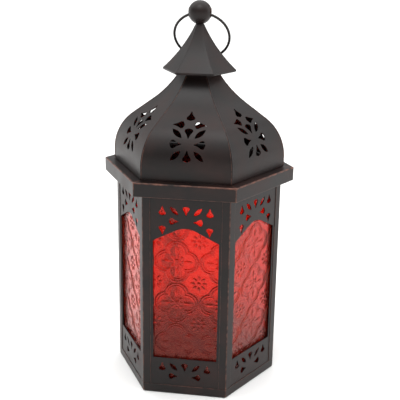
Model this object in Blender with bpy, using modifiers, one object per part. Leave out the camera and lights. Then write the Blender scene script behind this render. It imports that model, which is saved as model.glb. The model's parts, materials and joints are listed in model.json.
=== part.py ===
"""Six-sided candle lantern of painted sheet iron, glazed with red pressed glass.

Metres, +Z up. The origin is the middle of the base's underside, where the lantern stands. The front
looks along -Y, one corner lies on +X and the others every 60 degrees from it, and the rear face,
on +Y, is the door. A place on a face is (across, up): across is measured from the face's middle,
to the right of someone who looks at it from outside. A depth is measured inwards from the plane
of the corner posts' outside.
"""

import math

import bmesh
import bpy
from mathutils import Matrix, Vector

# Sheet, wire and clearances
SHEET = 0.0008  # iron sheet of the body, eave, dome and cap
GAP = 0.0003  # between pieces that touch or are soldered
RUN_GAP = 0.0001  # round a pin that something turns on

# Body
SIDES = 6
BODY_RADIUS = 0.066  # axis to a post's outer corner
BAND_HEIGHT = 0.0075  # upturned rim of the base pan
BAND_ROUNDING = 0.0012  # pan's lower edge
EAVE_BOTTOM = 0.1653  # lower edge of the eave's skirt, above the ground
POST_LEG = 0.006  # outer legs of a corner post
INNER_LEG = 0.0075  # reach of a post's inner legs from the corner, which keep the glass in
TIE_RING_HEIGHT = 0.0114

# Glass
GLASS_THICKNESS = 0.003
GLASS_TOP_DROP = 0.0023  # pane's top edge, below the eave

# Window and piercings of a side panel
WINDOW_MARGIN = 0.008  # window's side edge, from the corner
WINDOW_SILL = 0.031
WINDOW_SHOULDER_DROP = 0.0362  # shoulder of the pointed head, below the eave
WINDOW_PEAK_DROP = 0.0256
WINDOW_CROWN = 0.007  # half width of the round crown at the peak
WINDOW_CROWN_RISE = 0.0015
UPPER_FLOWER_DROP = 0.0203  # middle of the upper pattern, below the eave
LOWER_FLOWER_DROP = 0.0156  # middle of the lower pattern, below the sill
PETAL_PITCH = 0.0089  # flower's middle to a petal's, across
PETAL_RISE = 0.0082  # and up
TULIP_LENGTH = 0.0075
TULIP_WIDTH = 0.0051
TULIP_OUTLINE = ((0.5, 0), (0.12, 0.24), (-0.27, 0.5), (-0.44, 0.27), (-0.5, 0))  # shares, tip first
LEAF_LENGTH = 0.0085
LEAF_WIDTH = 0.0031
LEAF_STATIONS = (1, 0.55, 0, -0.55, -1)  # shares of half its length
SIDE_TULIP_OUT = 0.0178
SIDE_TULIP_CLEARANCE = 0.00101  # under its tip, down to the window's sloping head
PUNCH_DEPTH = 0.006  # reach of a piercing through the curved dome

# Eave
EAVE_OVERHANG = 0.0095  # eave's corner beyond a post's
EAVE_HEIGHT = 0.0107
EAVE_ROUNDING = 0.001
EAVE_HOLE_RADIUS = 0.0565  # at its corners, open to the dome

# Dome, measured along a seam
DOME_STEP = 0.0013  # foot of the dome beyond the posts
DOME_FOOT_HEIGHT = 0.0077  # upright stretch above the eave
SHOULDER_RADIUS = 0.0366
SHOULDER_TURN = math.radians(54)
THROAT_RADIUS = 0.0825
THROAT_TURN = math.radians(18)
THROAT_END_RADIUS = 0.0177  # axis to the seam where the throat's curve ends
NECK_RADIUS = 0.016
NECK_RISE = 0.0026
NECK_HEIGHT = 0.0058
DOME_PETAL_SCALE = 1.2  # against the side panels' holes
DOME_PETAL_PITCH = 0.0085
DOME_FLOWER_UP = 0.0278  # middle of the pattern, along the gore from its foot
DOME_TOP_TULIP_RISE = 2.9  # above the flower's middle, in petal pitches, as the next two are
DOME_OUTER_TULIP_OUT = 0.98
DOME_OUTER_TULIP_RISE = 1.9

# Cap, measured along a corner
CAP_LIFT = 0.0066  # rim above the end of the throat
CAP_RIM_RADIUS = 0.0281
CAP_RIM_SLOPE = math.radians(42)
CAP_TOP_RADIUS = 0.0038
CAP_TOP_SLOPE = math.radians(64)
CAP_ROLL = 0.0012  # radius of the rolled rim
CAP_ROLL_TURN = math.radians(125)

# Finial
CROWN_PLATE_LAP = 0.0015  # crown plate beyond the neck
STUD_RADIUS = 0.00195
STUD_TAIL = 0.002  # stud below its nut
NUT_RADIUS = 0.004
NUT_HEIGHT = 0.0032
SPACER_RADIUS = 0.0029
SPACER_TOP_DROP = 0.0022  # spacer's top, below the cap's
BALL_RADIUS = 0.009
BALL_WALL = 0.0012  # between the stud's hole and the ring's bore

# Ring
RING_RADIUS = 0.0213  # middle of the wire
RING_WIRE = 0.001  # radius of the wire
RING_DROP = 0.0004  # wire below the middle of the ball's bore

# Candle cup
CUP_RADIUS = 0.028
CUP_HEIGHT = 0.012
CUP_SHEET = 0.0006
CUP_LIP = 0.0012

# Door, its hinges and its latch
DOOR_LAP = 0.0022  # door over a post's leg
DOOR_HEM_LIP = 0.0042
DOOR_GLASS_MARGIN = 0.0008  # pane's side edge to the post
HINGE_HEIGHTS = (0.045, 0.125)
LEAF_SHEET = 0.0006
LEAF_HEIGHT = 0.008
DOOR_LEAF_REACH = 0.0085
FRAME_LEAF_REACH = 0.0064
KNUCKLE_RADIUS = 0.0013
HINGE_PIN_RADIUS = 0.0005
PIN_HEAD_RADIUS = 0.0009
PIN_HEAD = 0.0006
LATCH_HEIGHT = 0.098
LATCH_REACH = 0.0068
LATCH_SHEET = 0.0008
RIVET_RADIUS = 0.0009
RIVET_HEAD_RADIUS = 0.0014
RIVET_HEAD = 0.0006
RIVET_CROWN_RADIUS = 0.001  # flat middle of the rivet's head
RIVET_CROWN_DROP = 0.0001
KNOB_HEIGHT = 0.082
KNOB_NECK_RADIUS = 0.0009
KNOB_RADIUS = 0.002
KNOB_FOOT_RADIUS = 0.0016
KNOB_ROUND = math.radians(150)  # turn of the round head, from its top to the neck
KNOB_LENGTH = 0.0062

# Places that follow from the sizes
HALF_CORNER = math.pi / SIDES
FLATNESS = math.cos(HALF_CORNER)  # a face's distance from the axis over its corner's
BODY_FLAT = BODY_RADIUS * FLATNESS
HALF_FACE = BODY_RADIUS * math.sin(HALF_CORNER)
FLOOR = SHEET + GAP
PANEL_DEPTH = SHEET + GAP
GLASS_DEPTH = PANEL_DEPTH + SHEET + GAP
INNER_LEG_DEPTH = GLASS_DEPTH + GLASS_THICKNESS + GAP
TIE_RING_DEPTH = INNER_LEG_DEPTH + SHEET + GAP
EAVE_TOP = EAVE_BOTTOM + EAVE_HEIGHT
WALL_TOP = EAVE_TOP - SHEET - GAP
DOOR_DEPTH = -GAP - SHEET
DOOR_BOTTOM = BAND_HEIGHT + GAP
DOOR_TOP = EAVE_BOTTOM - GAP
DOOR_HALF_WIDTH = HALF_FACE - POST_LEG + DOOR_LAP

FACES = {
    "front": 270,
    "front_right": 330,
    "rear_right": 30,
    "rear": 90,
    "rear_left": 150,
    "front_left": 210,
}
CORNERS = {
    "right": 0,
    "rear_right": 60,
    "rear_left": 120,
    "left": 180,
    "front_left": 240,
    "front_right": 300,
}
DOOR_FACE = "rear"
HINGE_FACE = "rear_right"

CIRCLE_STEPS = 24
SMALL_CIRCLE_STEPS = 12
CROWN_STEPS = 4  # of half a window's crown
BALL_STEPS = 14


# ---------------------------------------------------------------------------------------------
# Scene, materials and the ways a piece is made


def clear_scene():
    for item in list(bpy.data.objects):
        bpy.data.objects.remove(item, do_unlink=True)


def new_collection(name):
    made = bpy.data.collections.new(name)
    bpy.context.scene.collection.children.link(made)
    return made


def new_material(name, colour, roughness, metallic, transmission=0.0):
    made = bpy.data.materials.new(name)
    made.use_nodes = True
    shader = made.node_tree.nodes["Principled BSDF"]
    shader.inputs["Base Color"].default_value = (*colour, 1.0)
    shader.inputs["Roughness"].default_value = roughness
    shader.inputs["Metallic"].default_value = metallic
    shader.inputs["Transmission Weight"].default_value = transmission
    return made


def own_material(name, finish):
    """A copy of a finish, named for the piece that wears it."""
    made = finish.copy()
    made.name = f"{name}_{finish.name}"
    return made


def new_object(name, data, finish):
    """An object of the lantern, with a material of its own."""
    made = bpy.data.objects.new(name, data)
    LANTERN.objects.link(made)
    data.materials.append(own_material(name, finish))
    return made


def as_cutter(item):
    LANTERN.objects.unlink(item)
    CUTTERS.objects.link(item)
    item.hide_render = True
    item.display_type = "WIRE"
    return item


def smooth(item, sharp_above=35):
    item.data.shade_smooth()
    item.data.set_sharp_from_angle(angle=math.radians(sharp_above))


def flat_outline(name, loops, thickness, finish):
    """A sheet cut to an outline, centred on its own XY plane. The loops after the first are its holes."""
    curve = bpy.data.curves.new(name, "CURVE")
    curve.dimensions = "2D"
    curve.fill_mode = "BOTH"
    curve.extrude = thickness / 2
    for loop in loops:
        spline = curve.splines.new("POLY")
        spline.points.add(len(loop) - 1)
        for point, (x, y) in zip(spline.points, loop):
            point.co = (x, y, 0, 1)
        spline.use_cyclic_u = True
    return new_object(name, curve, finish)


def to_mesh_object(item):
    """A curve or an object with modifiers becomes a plain mesh object of the same name and place."""
    bpy.context.view_layer.update()
    evaluated = item.evaluated_get(bpy.context.evaluated_depsgraph_get())
    data = bpy.data.meshes.new_from_object(evaluated)
    name, place, material = item.name, item.matrix_world.copy(), item.active_material
    bpy.data.objects.remove(item, do_unlink=True)
    bm = bmesh.new()
    bm.from_mesh(data)
    bmesh.ops.remove_doubles(bm, verts=bm.verts, dist=1e-6)
    bm.to_mesh(data)
    bm.free()
    data.materials.clear()
    data.materials.append(material)
    made = bpy.data.objects.new(name, data)
    made.matrix_world = place
    LANTERN.objects.link(made)
    return made


def turned(name, profile, steps, finish, closed=True):
    """A profile of (radius, height) pairs turned about Z. It runs down its outer side. With SIDES
    steps the piece has the lantern's own corners, and the radii are those of the corners."""
    bm = bmesh.new()
    points = [bm.verts.new((radius, 0, height)) for radius, height in profile]
    for a, b in zip(points, points[1:]):
        bm.edges.new((a, b))
    if closed:
        bm.edges.new((points[-1], points[0]))
    data = bpy.data.meshes.new(name)
    bm.to_mesh(data)
    bm.free()
    made = new_object(name, data, finish)
    screw = made.modifiers.new("turn", "SCREW")
    screw.axis = "Z"
    screw.angle = 2 * math.pi
    screw.steps = steps
    screw.render_steps = steps
    screw.use_merge_vertices = True
    screw.merge_threshold = 1e-5
    if steps > SIDES:
        screw.use_smooth_shade = True
    return made


def cut(item, cutter, operation="DIFFERENCE"):
    modifier = item.modifiers.new(cutter.name, "BOOLEAN")
    modifier.operation = operation
    modifier.solver = "EXACT"
    modifier.object = cutter


def arc(centre, radius, start, turn, steps):
    """Points along an arc, its two ends included. Angles are in radians, anticlockwise from +X."""
    return [
        (
            centre[0] + radius * math.cos(start + turn * i / steps),
            centre[1] + radius * math.sin(start + turn * i / steps),
        )
        for i in range(steps + 1)
    ]


def circle(radius, steps=CIRCLE_STEPS):
    return arc((0, 0), radius, 0, 2 * math.pi, steps)[:-1]


def rectangle(left, right, bottom, top):
    return [(left, bottom), (right, bottom), (right, top), (left, top)]


def corner_radius(flat):
    """The corner's distance from the axis, for a face at this distance."""
    return flat / FLATNESS


def place_on_face(item, face, depth, across=0.0, up=0.0):
    """Puts a piece made in its own XY plane on a face: X runs across, Y up and Z outwards."""
    angle = math.radians(FACES[face])
    outwards = Vector((math.cos(angle), math.sin(angle), 0))
    sideways = Vector((-math.sin(angle), math.cos(angle), 0))
    item.rotation_euler = (math.pi / 2, 0, angle + math.pi / 2)
    item.location = outwards * (BODY_FLAT - depth) + sideways * across + Vector((0, 0, up))


def sheet_middle(depth, thickness=SHEET):
    return depth + thickness / 2


def room_beside_post(depth):
    """Half the width between two posts' webs, at this depth, less the clearance."""
    return HALF_FACE - (SHEET / 2 + GAP + depth * math.sin(HALF_CORNER)) / FLATNESS


# ---------------------------------------------------------------------------------------------
# Piercings, which the side panels and the dome share


def tulip(x, y, pointing):
    """A bell-shaped hole. Its tip points at this angle and its round base lies opposite."""
    side = [(TULIP_LENGTH * px, TULIP_WIDTH * py) for px, py in TULIP_OUTLINE]
    outline = side + [(px, -py) for px, py in reversed(side[1:-1])]
    return turned_outline(outline, x, y, pointing)


def leaf(x, y, pointing):
    """A leaf-shaped hole with its two points along this angle."""
    side = [(LEAF_LENGTH / 2 * c, LEAF_WIDTH / 2 * (1 - c * c)) for c in LEAF_STATIONS]
    outline = side + [(px, -py) for px, py in reversed(side[1:-1])]
    return turned_outline(outline, x, y, pointing)


def turned_outline(outline, x, y, degrees):
    c, s = math.cos(math.radians(degrees)), math.sin(math.radians(degrees))
    return [(x + c * px - s * py, y + s * px + c * py) for px, py in outline]


def half_flower(x, y):
    """The petals of a flower that stand beside and above its middle."""
    return [
        tulip(x - PETAL_PITCH, y, 0),
        tulip(x + PETAL_PITCH, y, 180),
        leaf(x - PETAL_PITCH, y + PETAL_RISE, 135),
        leaf(x + PETAL_PITCH, y + PETAL_RISE, 45),
        tulip(x, y + PETAL_RISE, 270),
    ]


def panel_piercings():
    """The half flower over the window and the one under it, each between tulips at the sides."""
    above, below = EAVE_BOTTOM - UPPER_FLOWER_DROP, WINDOW_SILL - LOWER_FLOWER_DROP
    holes = half_flower(0, above) + half_flower(0, below)
    beside_head = window_head(SIDE_TULIP_OUT) + SIDE_TULIP_CLEARANCE + TULIP_LENGTH / 2
    for x in (-SIDE_TULIP_OUT, SIDE_TULIP_OUT):
        holes += [tulip(x, above + PETAL_RISE, 90), tulip(x, below + PETAL_RISE, 90)]
        holes.append(tulip(x, beside_head, 270))
    return holes


def window_head(across):
    """Height of the window's sloping head at this distance from the window's middle."""
    half = HALF_FACE - WINDOW_MARGIN
    shoulder = EAVE_BOTTOM - WINDOW_SHOULDER_DROP
    slope_top = EAVE_BOTTOM - WINDOW_PEAK_DROP - WINDOW_CROWN_RISE
    return shoulder + (slope_top - shoulder) * (half - across) / (half - WINDOW_CROWN)


def window():
    """The window: upright sides, and a pointed head with a round crown."""
    half = HALF_FACE - WINDOW_MARGIN
    shoulder, peak = EAVE_BOTTOM - WINDOW_SHOULDER_DROP, EAVE_BOTTOM - WINDOW_PEAK_DROP
    shares = [i / CROWN_STEPS for i in range(CROWN_STEPS, -CROWN_STEPS - 1, -1)]
    crown = [(WINDOW_CROWN * share, peak - WINDOW_CROWN_RISE * share**2) for share in shares]
    return [(-half, WINDOW_SILL), (half, WINDOW_SILL), (half, shoulder), *crown, (-half, shoulder)]


def dome_piercings():
    """(outline, how far across, how far up the gore) of each hole in a dome gore. The flower is a
    whole one, with two tulips that point outwards over it and one at the top."""
    holes = [(tulip, sign, 0, 0 if sign < 0 else 180) for sign in (-1, 1)]
    holes += [(tulip, 0, 1, 270), (tulip, 0, -1, 90), (tulip, 0, DOME_TOP_TULIP_RISE, 90)]
    holes += [(leaf, x, y, 45 * x * y) for x in (-1, 1) for y in (-1, 1)]
    for sign in (-1, 1):
        holes.append((tulip, sign * DOME_OUTER_TULIP_OUT, DOME_OUTER_TULIP_RISE, 90 - sign * 90))
    return [
        (
            [(DOME_PETAL_SCALE * px, DOME_PETAL_SCALE * py) for px, py in shape(0, 0, pointing)],
            DOME_PETAL_PITCH * x,
            DOME_FLOWER_UP + DOME_PETAL_PITCH * y,
        )
        for shape, x, y, pointing in holes
    ]


# ---------------------------------------------------------------------------------------------
# Body


def make_base_pan():
    """The floor with its rim turned up round it, which stands proud of the side panels."""
    outer, inner = BODY_RADIUS, corner_radius(BODY_FLAT - SHEET)
    rounding = arc((outer - BAND_ROUNDING, BAND_ROUNDING), BAND_ROUNDING, 0, -math.pi / 2, 3)
    profile = [(0, SHEET), (inner, SHEET), (inner, BAND_HEIGHT), (outer, BAND_HEIGHT), *rounding, (0, 0)]
    turned("base_pan", profile, SIDES, IRON, closed=False)


def make_posts():
    """Corner posts. Two outer legs show at each corner, a web stands behind them, and two inner
    legs keep the panes against the side panels."""
    edge = Vector((-math.sin(HALF_CORNER), FLATNESS))
    inwards = Vector((-FLATNESS, -math.sin(HALF_CORNER)))
    corner = Vector((BODY_RADIUS, 0))

    def at(along, depth):
        return corner + edge * along + inwards * depth

    def beside_web(depth):
        return at((SHEET / 2 + depth * math.sin(HALF_CORNER)) / FLATNESS, depth)

    back = INNER_LEG_DEPTH + SHEET
    half = [
        at(POST_LEG, 0),
        at(POST_LEG, SHEET),
        beside_web(SHEET),
        beside_web(INNER_LEG_DEPTH),
        at(INNER_LEG, INNER_LEG_DEPTH),
        at(INNER_LEG, back),
    ]
    ridge = Vector((BODY_RADIUS - back / FLATNESS, 0))
    outline = [corner, *half, ridge, *(Vector((p.x, -p.y)) for p in reversed(half))]
    bottom = BAND_HEIGHT + GAP
    for name, degrees in CORNERS.items():
        post = flat_outline(f"post_{name}", [outline], WALL_TOP - bottom, IRON)
        post.rotation_euler.z = math.radians(degrees)
        post.location.z = (WALL_TOP + bottom) / 2


def make_tie_ring():
    """A band inside the top of the posts, which ties them together under the eave."""
    outer = corner_radius(BODY_FLAT - TIE_RING_DEPTH)
    inner = corner_radius(BODY_FLAT - TIE_RING_DEPTH - SHEET)
    bottom = WALL_TOP - TIE_RING_HEIGHT
    profile = [(outer, WALL_TOP), (outer, bottom), (inner, bottom), (inner, WALL_TOP)]
    turned("tie_ring", profile, SIDES, IRON)


def make_side_panels():
    """Pierced panels behind the posts' legs, on every face but the door's."""
    half = room_beside_post(PANEL_DEPTH + SHEET)
    loops = [rectangle(-half, half, FLOOR, WALL_TOP), window(), *panel_piercings()]
    for face in FACES:
        if face != DOOR_FACE:
            panel = flat_outline(f"panel_{face}", loops, SHEET, IRON)
            place_on_face(panel, face, sheet_middle(PANEL_DEPTH))


def make_pane(name, face, depth, half_width, bottom, top):
    bm = bmesh.new()
    size = Matrix.Diagonal((2 * half_width, top - bottom, GLASS_THICKNESS, 1))
    bmesh.ops.create_cube(bm, size=1, matrix=size)
    data = bpy.data.meshes.new(name)
    bm.to_mesh(data)
    bm.free()
    pane = new_object(name, data, GLASS)
    place_on_face(pane, face, sheet_middle(depth, GLASS_THICKNESS), up=(bottom + top) / 2)
    return pane


def make_fixed_panes():
    """Panes between the side panels and the posts' inner legs. They stand on the floor."""
    half = room_beside_post(GLASS_DEPTH + GLASS_THICKNESS)
    for face in FACES:
        if face != DOOR_FACE:
            make_pane(f"glass_{face}", face, GLASS_DEPTH, half, FLOOR, EAVE_BOTTOM - GLASS_TOP_DROP)


def make_candle_cup():
    """A shallow round cup on the floor, with its lip turned out."""
    bottom, top, inner = FLOOR, FLOOR + CUP_HEIGHT, CUP_RADIUS - CUP_SHEET
    profile = [
        (0, bottom + CUP_SHEET),
        (inner, bottom + CUP_SHEET),
        (inner, top),
        (CUP_RADIUS + CUP_LIP, top),
        (CUP_RADIUS + CUP_LIP, top - CUP_SHEET),
        (CUP_RADIUS, top - CUP_SHEET),
        (CUP_RADIUS, bottom),
        (0, bottom),
    ]
    turned("candle_cup", profile, CIRCLE_STEPS, IRON, closed=False)


# ---------------------------------------------------------------------------------------------
# Door


def make_door():
    """The rear panel, which laps over the posts' legs. Its upper and lower edges are folded into
    hems that hold its own pane. Returns what swings with it."""
    loops = [
        rectangle(-DOOR_HALF_WIDTH, DOOR_HALF_WIDTH, DOOR_BOTTOM, DOOR_TOP),
        window(),
        *panel_piercings(),
    ]
    plate = flat_outline("door_panel", loops, SHEET, IRON)
    place_on_face(plate, DOOR_FACE, sheet_middle(DOOR_DEPTH))
    plate = to_mesh_object(plate)

    glass_half = HALF_FACE - POST_LEG - DOOR_GLASS_MARGIN
    lip_front = GLASS_THICKNESS + GAP
    for end, sign, name in ((DOOR_BOTTOM, 1, "lower_hem"), (DOOR_TOP, -1, "upper_hem")):
        # The hem's section: X is the depth and Y is up. It overlaps the plate by half a sheet.
        start = DOOR_DEPTH + SHEET / 2
        section = [
            (start, end),
            (lip_front + SHEET, end),
            (lip_front + SHEET, end + sign * DOOR_HEM_LIP),
            (lip_front, end + sign * DOOR_HEM_LIP),
            (lip_front, end + sign * SHEET),
            (start, end + sign * SHEET),
        ]
        hem = flat_outline(name, [section], 2 * glass_half, IRON)
        hem.rotation_euler = (math.pi / 2, 0, math.radians(FACES[DOOR_FACE]) + math.pi)
        hem.location = (0, BODY_FLAT, 0)
        hem = as_cutter(to_mesh_object(hem))
        cut(plate, hem, "UNION")

    clear = SHEET + GAP
    pane = make_pane("door_glass", DOOR_FACE, 0.0, glass_half, DOOR_BOTTOM + clear, DOOR_TOP - clear)
    return [plate, pane]


def hinge_axis():
    """Where the hinge pins stand: just outside the corner between the door and the next face."""
    out = (KNUCKLE_RADIUS + GAP) / FLATNESS
    corner = math.radians(CORNERS["rear_right"])
    return Vector((math.cos(corner), math.sin(corner), 0)) * (BODY_RADIUS + out)


def leaf_outline(low, high, reach):
    """A hinge leaf seen from above: an eye at the origin, and a strip that runs along +X between
    these two distances from the X axis."""
    start = math.asin(high / KNUCKLE_RADIUS)
    turn = 2 * math.pi + math.asin(max(low / KNUCKLE_RADIUS, -1)) - start
    eye = arc((0, 0), KNUCKLE_RADIUS, start, turn, CIRCLE_STEPS)
    return [[*eye, (reach, low), (reach, high)], circle(HINGE_PIN_RADIUS + RUN_GAP, SMALL_CIRCLE_STEPS)]


def make_hinges():
    """Two hinges. Each has a leaf soldered to the post, one soldered to the door above it, and a
    pin with a head at each end. Returns the leaves that swing with the door."""
    wall = KNUCKLE_RADIUS + GAP  # the pins' distance from the planes of both faces
    door_leaf_low = wall - (GAP + SHEET) - GAP - LEAF_SHEET
    swinging = []
    for place, height in zip(("lower", "upper"), HINGE_HEIGHTS):
        loops = leaf_outline(GAP - wall, GAP - wall + LEAF_SHEET, FRAME_LEAF_REACH)
        frame_leaf = flat_outline(f"hinge_frame_leaf_{place}", loops, LEAF_HEIGHT, IRON)
        frame_leaf.rotation_euler.z = math.radians(FACES[HINGE_FACE]) - math.pi / 2
        frame_leaf.location = hinge_axis() + Vector((0, 0, height - (LEAF_HEIGHT + GAP) / 2))

        loops = leaf_outline(door_leaf_low, door_leaf_low + LEAF_SHEET, DOOR_LEAF_REACH)
        door_leaf = flat_outline(f"hinge_door_leaf_{place}", loops, LEAF_HEIGHT, IRON)
        door_leaf.rotation_euler.z = math.radians(FACES[DOOR_FACE]) + math.pi / 2
        door_leaf.location = hinge_axis() + Vector((0, 0, height + (LEAF_HEIGHT + GAP) / 2))
        swinging.append(door_leaf)

        end = LEAF_HEIGHT + GAP / 2 + GAP  # from the hinge's middle to the inside of a pin's head
        profile = [
            (0, end + PIN_HEAD),
            (PIN_HEAD_RADIUS, end + PIN_HEAD),
            (PIN_HEAD_RADIUS, end),
            (HINGE_PIN_RADIUS, end),
            (HINGE_PIN_RADIUS, -end),
            (PIN_HEAD_RADIUS, -end),
            (PIN_HEAD_RADIUS, -end - PIN_HEAD),
            (0, -end - PIN_HEAD),
        ]
        pin = turned(f"hinge_pin_{place}", profile, SMALL_CIRCLE_STEPS, IRON, closed=False)
        pin.location = hinge_axis() + Vector((0, 0, height))
    return swinging


def latch_across():
    """The middle of the strip of post that the door leaves bare."""
    return (HALF_FACE + DOOR_HALF_WIDTH) / 2


def make_latch():
    """A turn button that hangs on a rivet in the post, and swings over the door's edge to hold it.
    Returns the button."""
    half = latch_across() - DOOR_HALF_WIDTH - GAP
    outline = arc((0, 0), half, 0, math.pi, 8) + arc((0, half - LATCH_REACH), half, math.pi, math.pi, 8)
    depth = DOOR_DEPTH - GAP - LATCH_SHEET
    loops = [outline, circle(RIVET_RADIUS + RUN_GAP, SMALL_CIRCLE_STEPS)]
    button = flat_outline("latch_button", loops, LATCH_SHEET, IRON)
    middle = sheet_middle(depth, LATCH_SHEET)
    place_on_face(button, DOOR_FACE, middle, latch_across(), LATCH_HEIGHT)

    under_head = -depth + GAP
    profile = [
        (0, under_head + RIVET_HEAD),
        (RIVET_CROWN_RADIUS, under_head + RIVET_HEAD - RIVET_CROWN_DROP),
        (RIVET_HEAD_RADIUS, under_head),
        (RIVET_RADIUS, under_head),
        (RIVET_RADIUS, GAP),
        (0, GAP),
    ]
    rivet = turned("latch_rivet", profile, SMALL_CIRCLE_STEPS, IRON, closed=False)
    place_on_face(rivet, DOOR_FACE, 0.0, latch_across(), LATCH_HEIGHT)
    return button


def make_knob():
    """A small turned pull on the free edge of the door."""
    across = (HALF_FACE - WINDOW_MARGIN + DOOR_HALF_WIDTH) / 2
    foot = GAP - DOOR_DEPTH
    neck_top = foot + KNOB_LENGTH - 2 * KNOB_RADIUS
    head = arc((0, foot + KNOB_LENGTH - KNOB_RADIUS), KNOB_RADIUS, math.pi / 2, -KNOB_ROUND, 8)
    profile = [(0, head[0][1]), *head[1:-1], (KNOB_NECK_RADIUS, neck_top)]
    profile += [(KNOB_NECK_RADIUS, foot + SHEET), (KNOB_FOOT_RADIUS, foot), (0, foot)]
    knob = turned("door_knob", profile, SMALL_CIRCLE_STEPS, IRON, closed=False)
    place_on_face(knob, DOOR_FACE, 0.0, across, KNOB_HEIGHT)
    return knob


# ---------------------------------------------------------------------------------------------
# Eave and dome


def make_eave():
    """A shallow upside-down tray. Its skirt hangs clear of the walls and the dome stands on its top."""
    outer = BODY_RADIUS + EAVE_OVERHANG
    inner = outer - SHEET / FLATNESS
    centre = (outer - EAVE_ROUNDING, EAVE_TOP - EAVE_ROUNDING)
    rounding = arc(centre, EAVE_ROUNDING, math.pi / 2, -math.pi / 2, 3)
    profile = [
        *rounding,
        (outer, EAVE_BOTTOM),
        (inner, EAVE_BOTTOM),
        (inner, EAVE_TOP - SHEET),
        (EAVE_HOLE_RADIUS, EAVE_TOP - SHEET),
        (EAVE_HOLE_RADIUS, EAVE_TOP),
    ]
    turned("eave", profile, SIDES, IRON)


def dome_profile():
    """(corner radius, height) up a seam: an upright foot, a round shoulder, a straight slope, the
    hollow throat, and the upright neck inside the cap."""
    foot = EAVE_TOP + GAP
    base = BODY_RADIUS + DOME_STEP
    spring = foot + DOME_FOOT_HEIGHT
    shoulder = arc((base - SHOULDER_RADIUS, spring), SHOULDER_RADIUS, 0, SHOULDER_TURN, 9)

    slope = math.pi / 2 - SHOULDER_TURN  # above the horizontal
    end_slope = slope + THROAT_TURN
    throat_run = THROAT_RADIUS * (math.sin(end_slope) - math.sin(slope))
    straight = (shoulder[-1][0] - throat_run - THROAT_END_RADIUS) / math.cos(slope)
    bend = (shoulder[-1][0] - straight * math.cos(slope), shoulder[-1][1] + straight * math.sin(slope))
    centre = (bend[0] + THROAT_RADIUS * math.sin(slope), bend[1] + THROAT_RADIUS * math.cos(slope))
    throat = arc(centre, THROAT_RADIUS, -math.pi / 2 - slope, -THROAT_TURN, 5)

    neck = throat[-1][1] + NECK_RISE
    return [(base, foot), *shoulder, *throat, (NECK_RADIUS, neck), (NECK_RADIUS, neck + NECK_HEIGHT)]


def throat_top():
    return dome_profile()[-3][1]


def dome_top():
    return dome_profile()[-1][1]


def along(line, distance):
    """The point this far along a line of points, and the direction there."""
    for start, end in zip(line, line[1:]):
        step = Vector(end) - Vector(start)
        if distance <= step.length:
            return Vector(start) + step.normalized() * distance, step.normalized()
        distance -= step.length
    return Vector(line[-1]), step.normalized()


def make_gores():
    """Six pierced gores, each bent one way only, that meet at the dome's seams."""
    line = [(radius * FLATNESS, height) for radius, height in dome_profile()]
    ribbon = bpy.data.curves.new("gore", "CURVE")
    ribbon.dimensions = "3D"
    ribbon.extrude = HALF_FACE + 2 * DOME_STEP
    spline = ribbon.splines.new("POLY")
    spline.points.add(len(line) - 1)
    for point, (flat, height) in zip(spline.points, line):
        point.co = (flat, height, 0, 1)
    gore = new_object("gore", ribbon, IRON)
    gore.rotation_euler = (math.pi / 2, 0, 0)
    gore = to_mesh_object(gore)
    shell = gore.modifiers.new("sheet", "SOLIDIFY")
    shell.thickness = SHEET
    shell.offset = -1
    shell.use_even_offset = True

    tip = GAP / 2 / math.sin(HALF_CORNER)
    far = 2 * BODY_RADIUS
    spread = (far - tip) * math.tan(HALF_CORNER)
    sector = [(tip, 0), (far, -spread), (far, spread)]
    wedge = flat_outline("gore_sector", [sector], 2 * dome_top(), IRON)
    cut(gore, as_cutter(to_mesh_object(wedge)), "INTERSECT")

    for number, (outline, across, up) in enumerate(dome_piercings()):
        place, upwards = along(line, up)
        outwards = Vector((upwards.y, -upwards.x))
        punch = flat_outline(f"gore_punch_{number}", [outline], PUNCH_DEPTH, IRON)
        turn = Matrix(((0, 1, 0), (upwards.x, 0, upwards.y), (outwards.x, 0, outwards.y)))
        middle = Matrix.Translation((place.x, across, place.y))
        punch.matrix_world = middle @ turn.transposed().to_4x4()
        cut(gore, as_cutter(to_mesh_object(punch)))

    gore = to_mesh_object(gore)
    for face, degrees in FACES.items():
        data = gore.data.copy()
        data.materials.clear()
        copy = new_object(f"gore_{face}", data, IRON)
        copy.matrix_world = Matrix.Rotation(math.radians(degrees), 4, "Z") @ gore.matrix_world
        smooth(copy, 25)
    bpy.data.objects.remove(gore, do_unlink=True)


# ---------------------------------------------------------------------------------------------
# Cap, finial and ring


def cap_profile():
    """(corner radius, height) down a corner of the cap: its flat top, the hollow slope, and the rim
    rolled inwards. The stud's hole is at the start."""
    spread = math.sin(CAP_TOP_SLOPE) - math.sin(CAP_RIM_SLOPE)
    hollow = (CAP_RIM_RADIUS - CAP_TOP_RADIUS) / spread
    rim = throat_top() + CAP_LIFT
    centre = (
        CAP_RIM_RADIUS + hollow * math.sin(CAP_RIM_SLOPE),
        rim + hollow * math.cos(CAP_RIM_SLOPE),
    )
    start = -math.pi / 2 - CAP_TOP_SLOPE
    slope = arc(centre, hollow, start, CAP_TOP_SLOPE - CAP_RIM_SLOPE, 7)
    normal = math.pi / 2 - CAP_RIM_SLOPE
    roll_centre = (
        CAP_RIM_RADIUS - CAP_ROLL * math.cos(normal),
        rim - CAP_ROLL * math.sin(normal),
    )
    roll = arc(roll_centre, CAP_ROLL, normal, -CAP_ROLL_TURN, 4)
    hole = corner_radius(STUD_RADIUS + RUN_GAP)
    return [(hole, slope[0][1]), *slope, *roll[1:]]


def cap_top():
    return cap_profile()[0][1]


def make_cap():
    """The small six-sided roof, a thin shell that hangs clear of the dome's throat."""
    cap = turned("cap", cap_profile(), SIDES, IRON, closed=False)
    shell = cap.modifiers.new("sheet", "SOLIDIFY")
    shell.thickness = SHEET
    shell.offset = -1
    shell.use_even_offset = True


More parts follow.
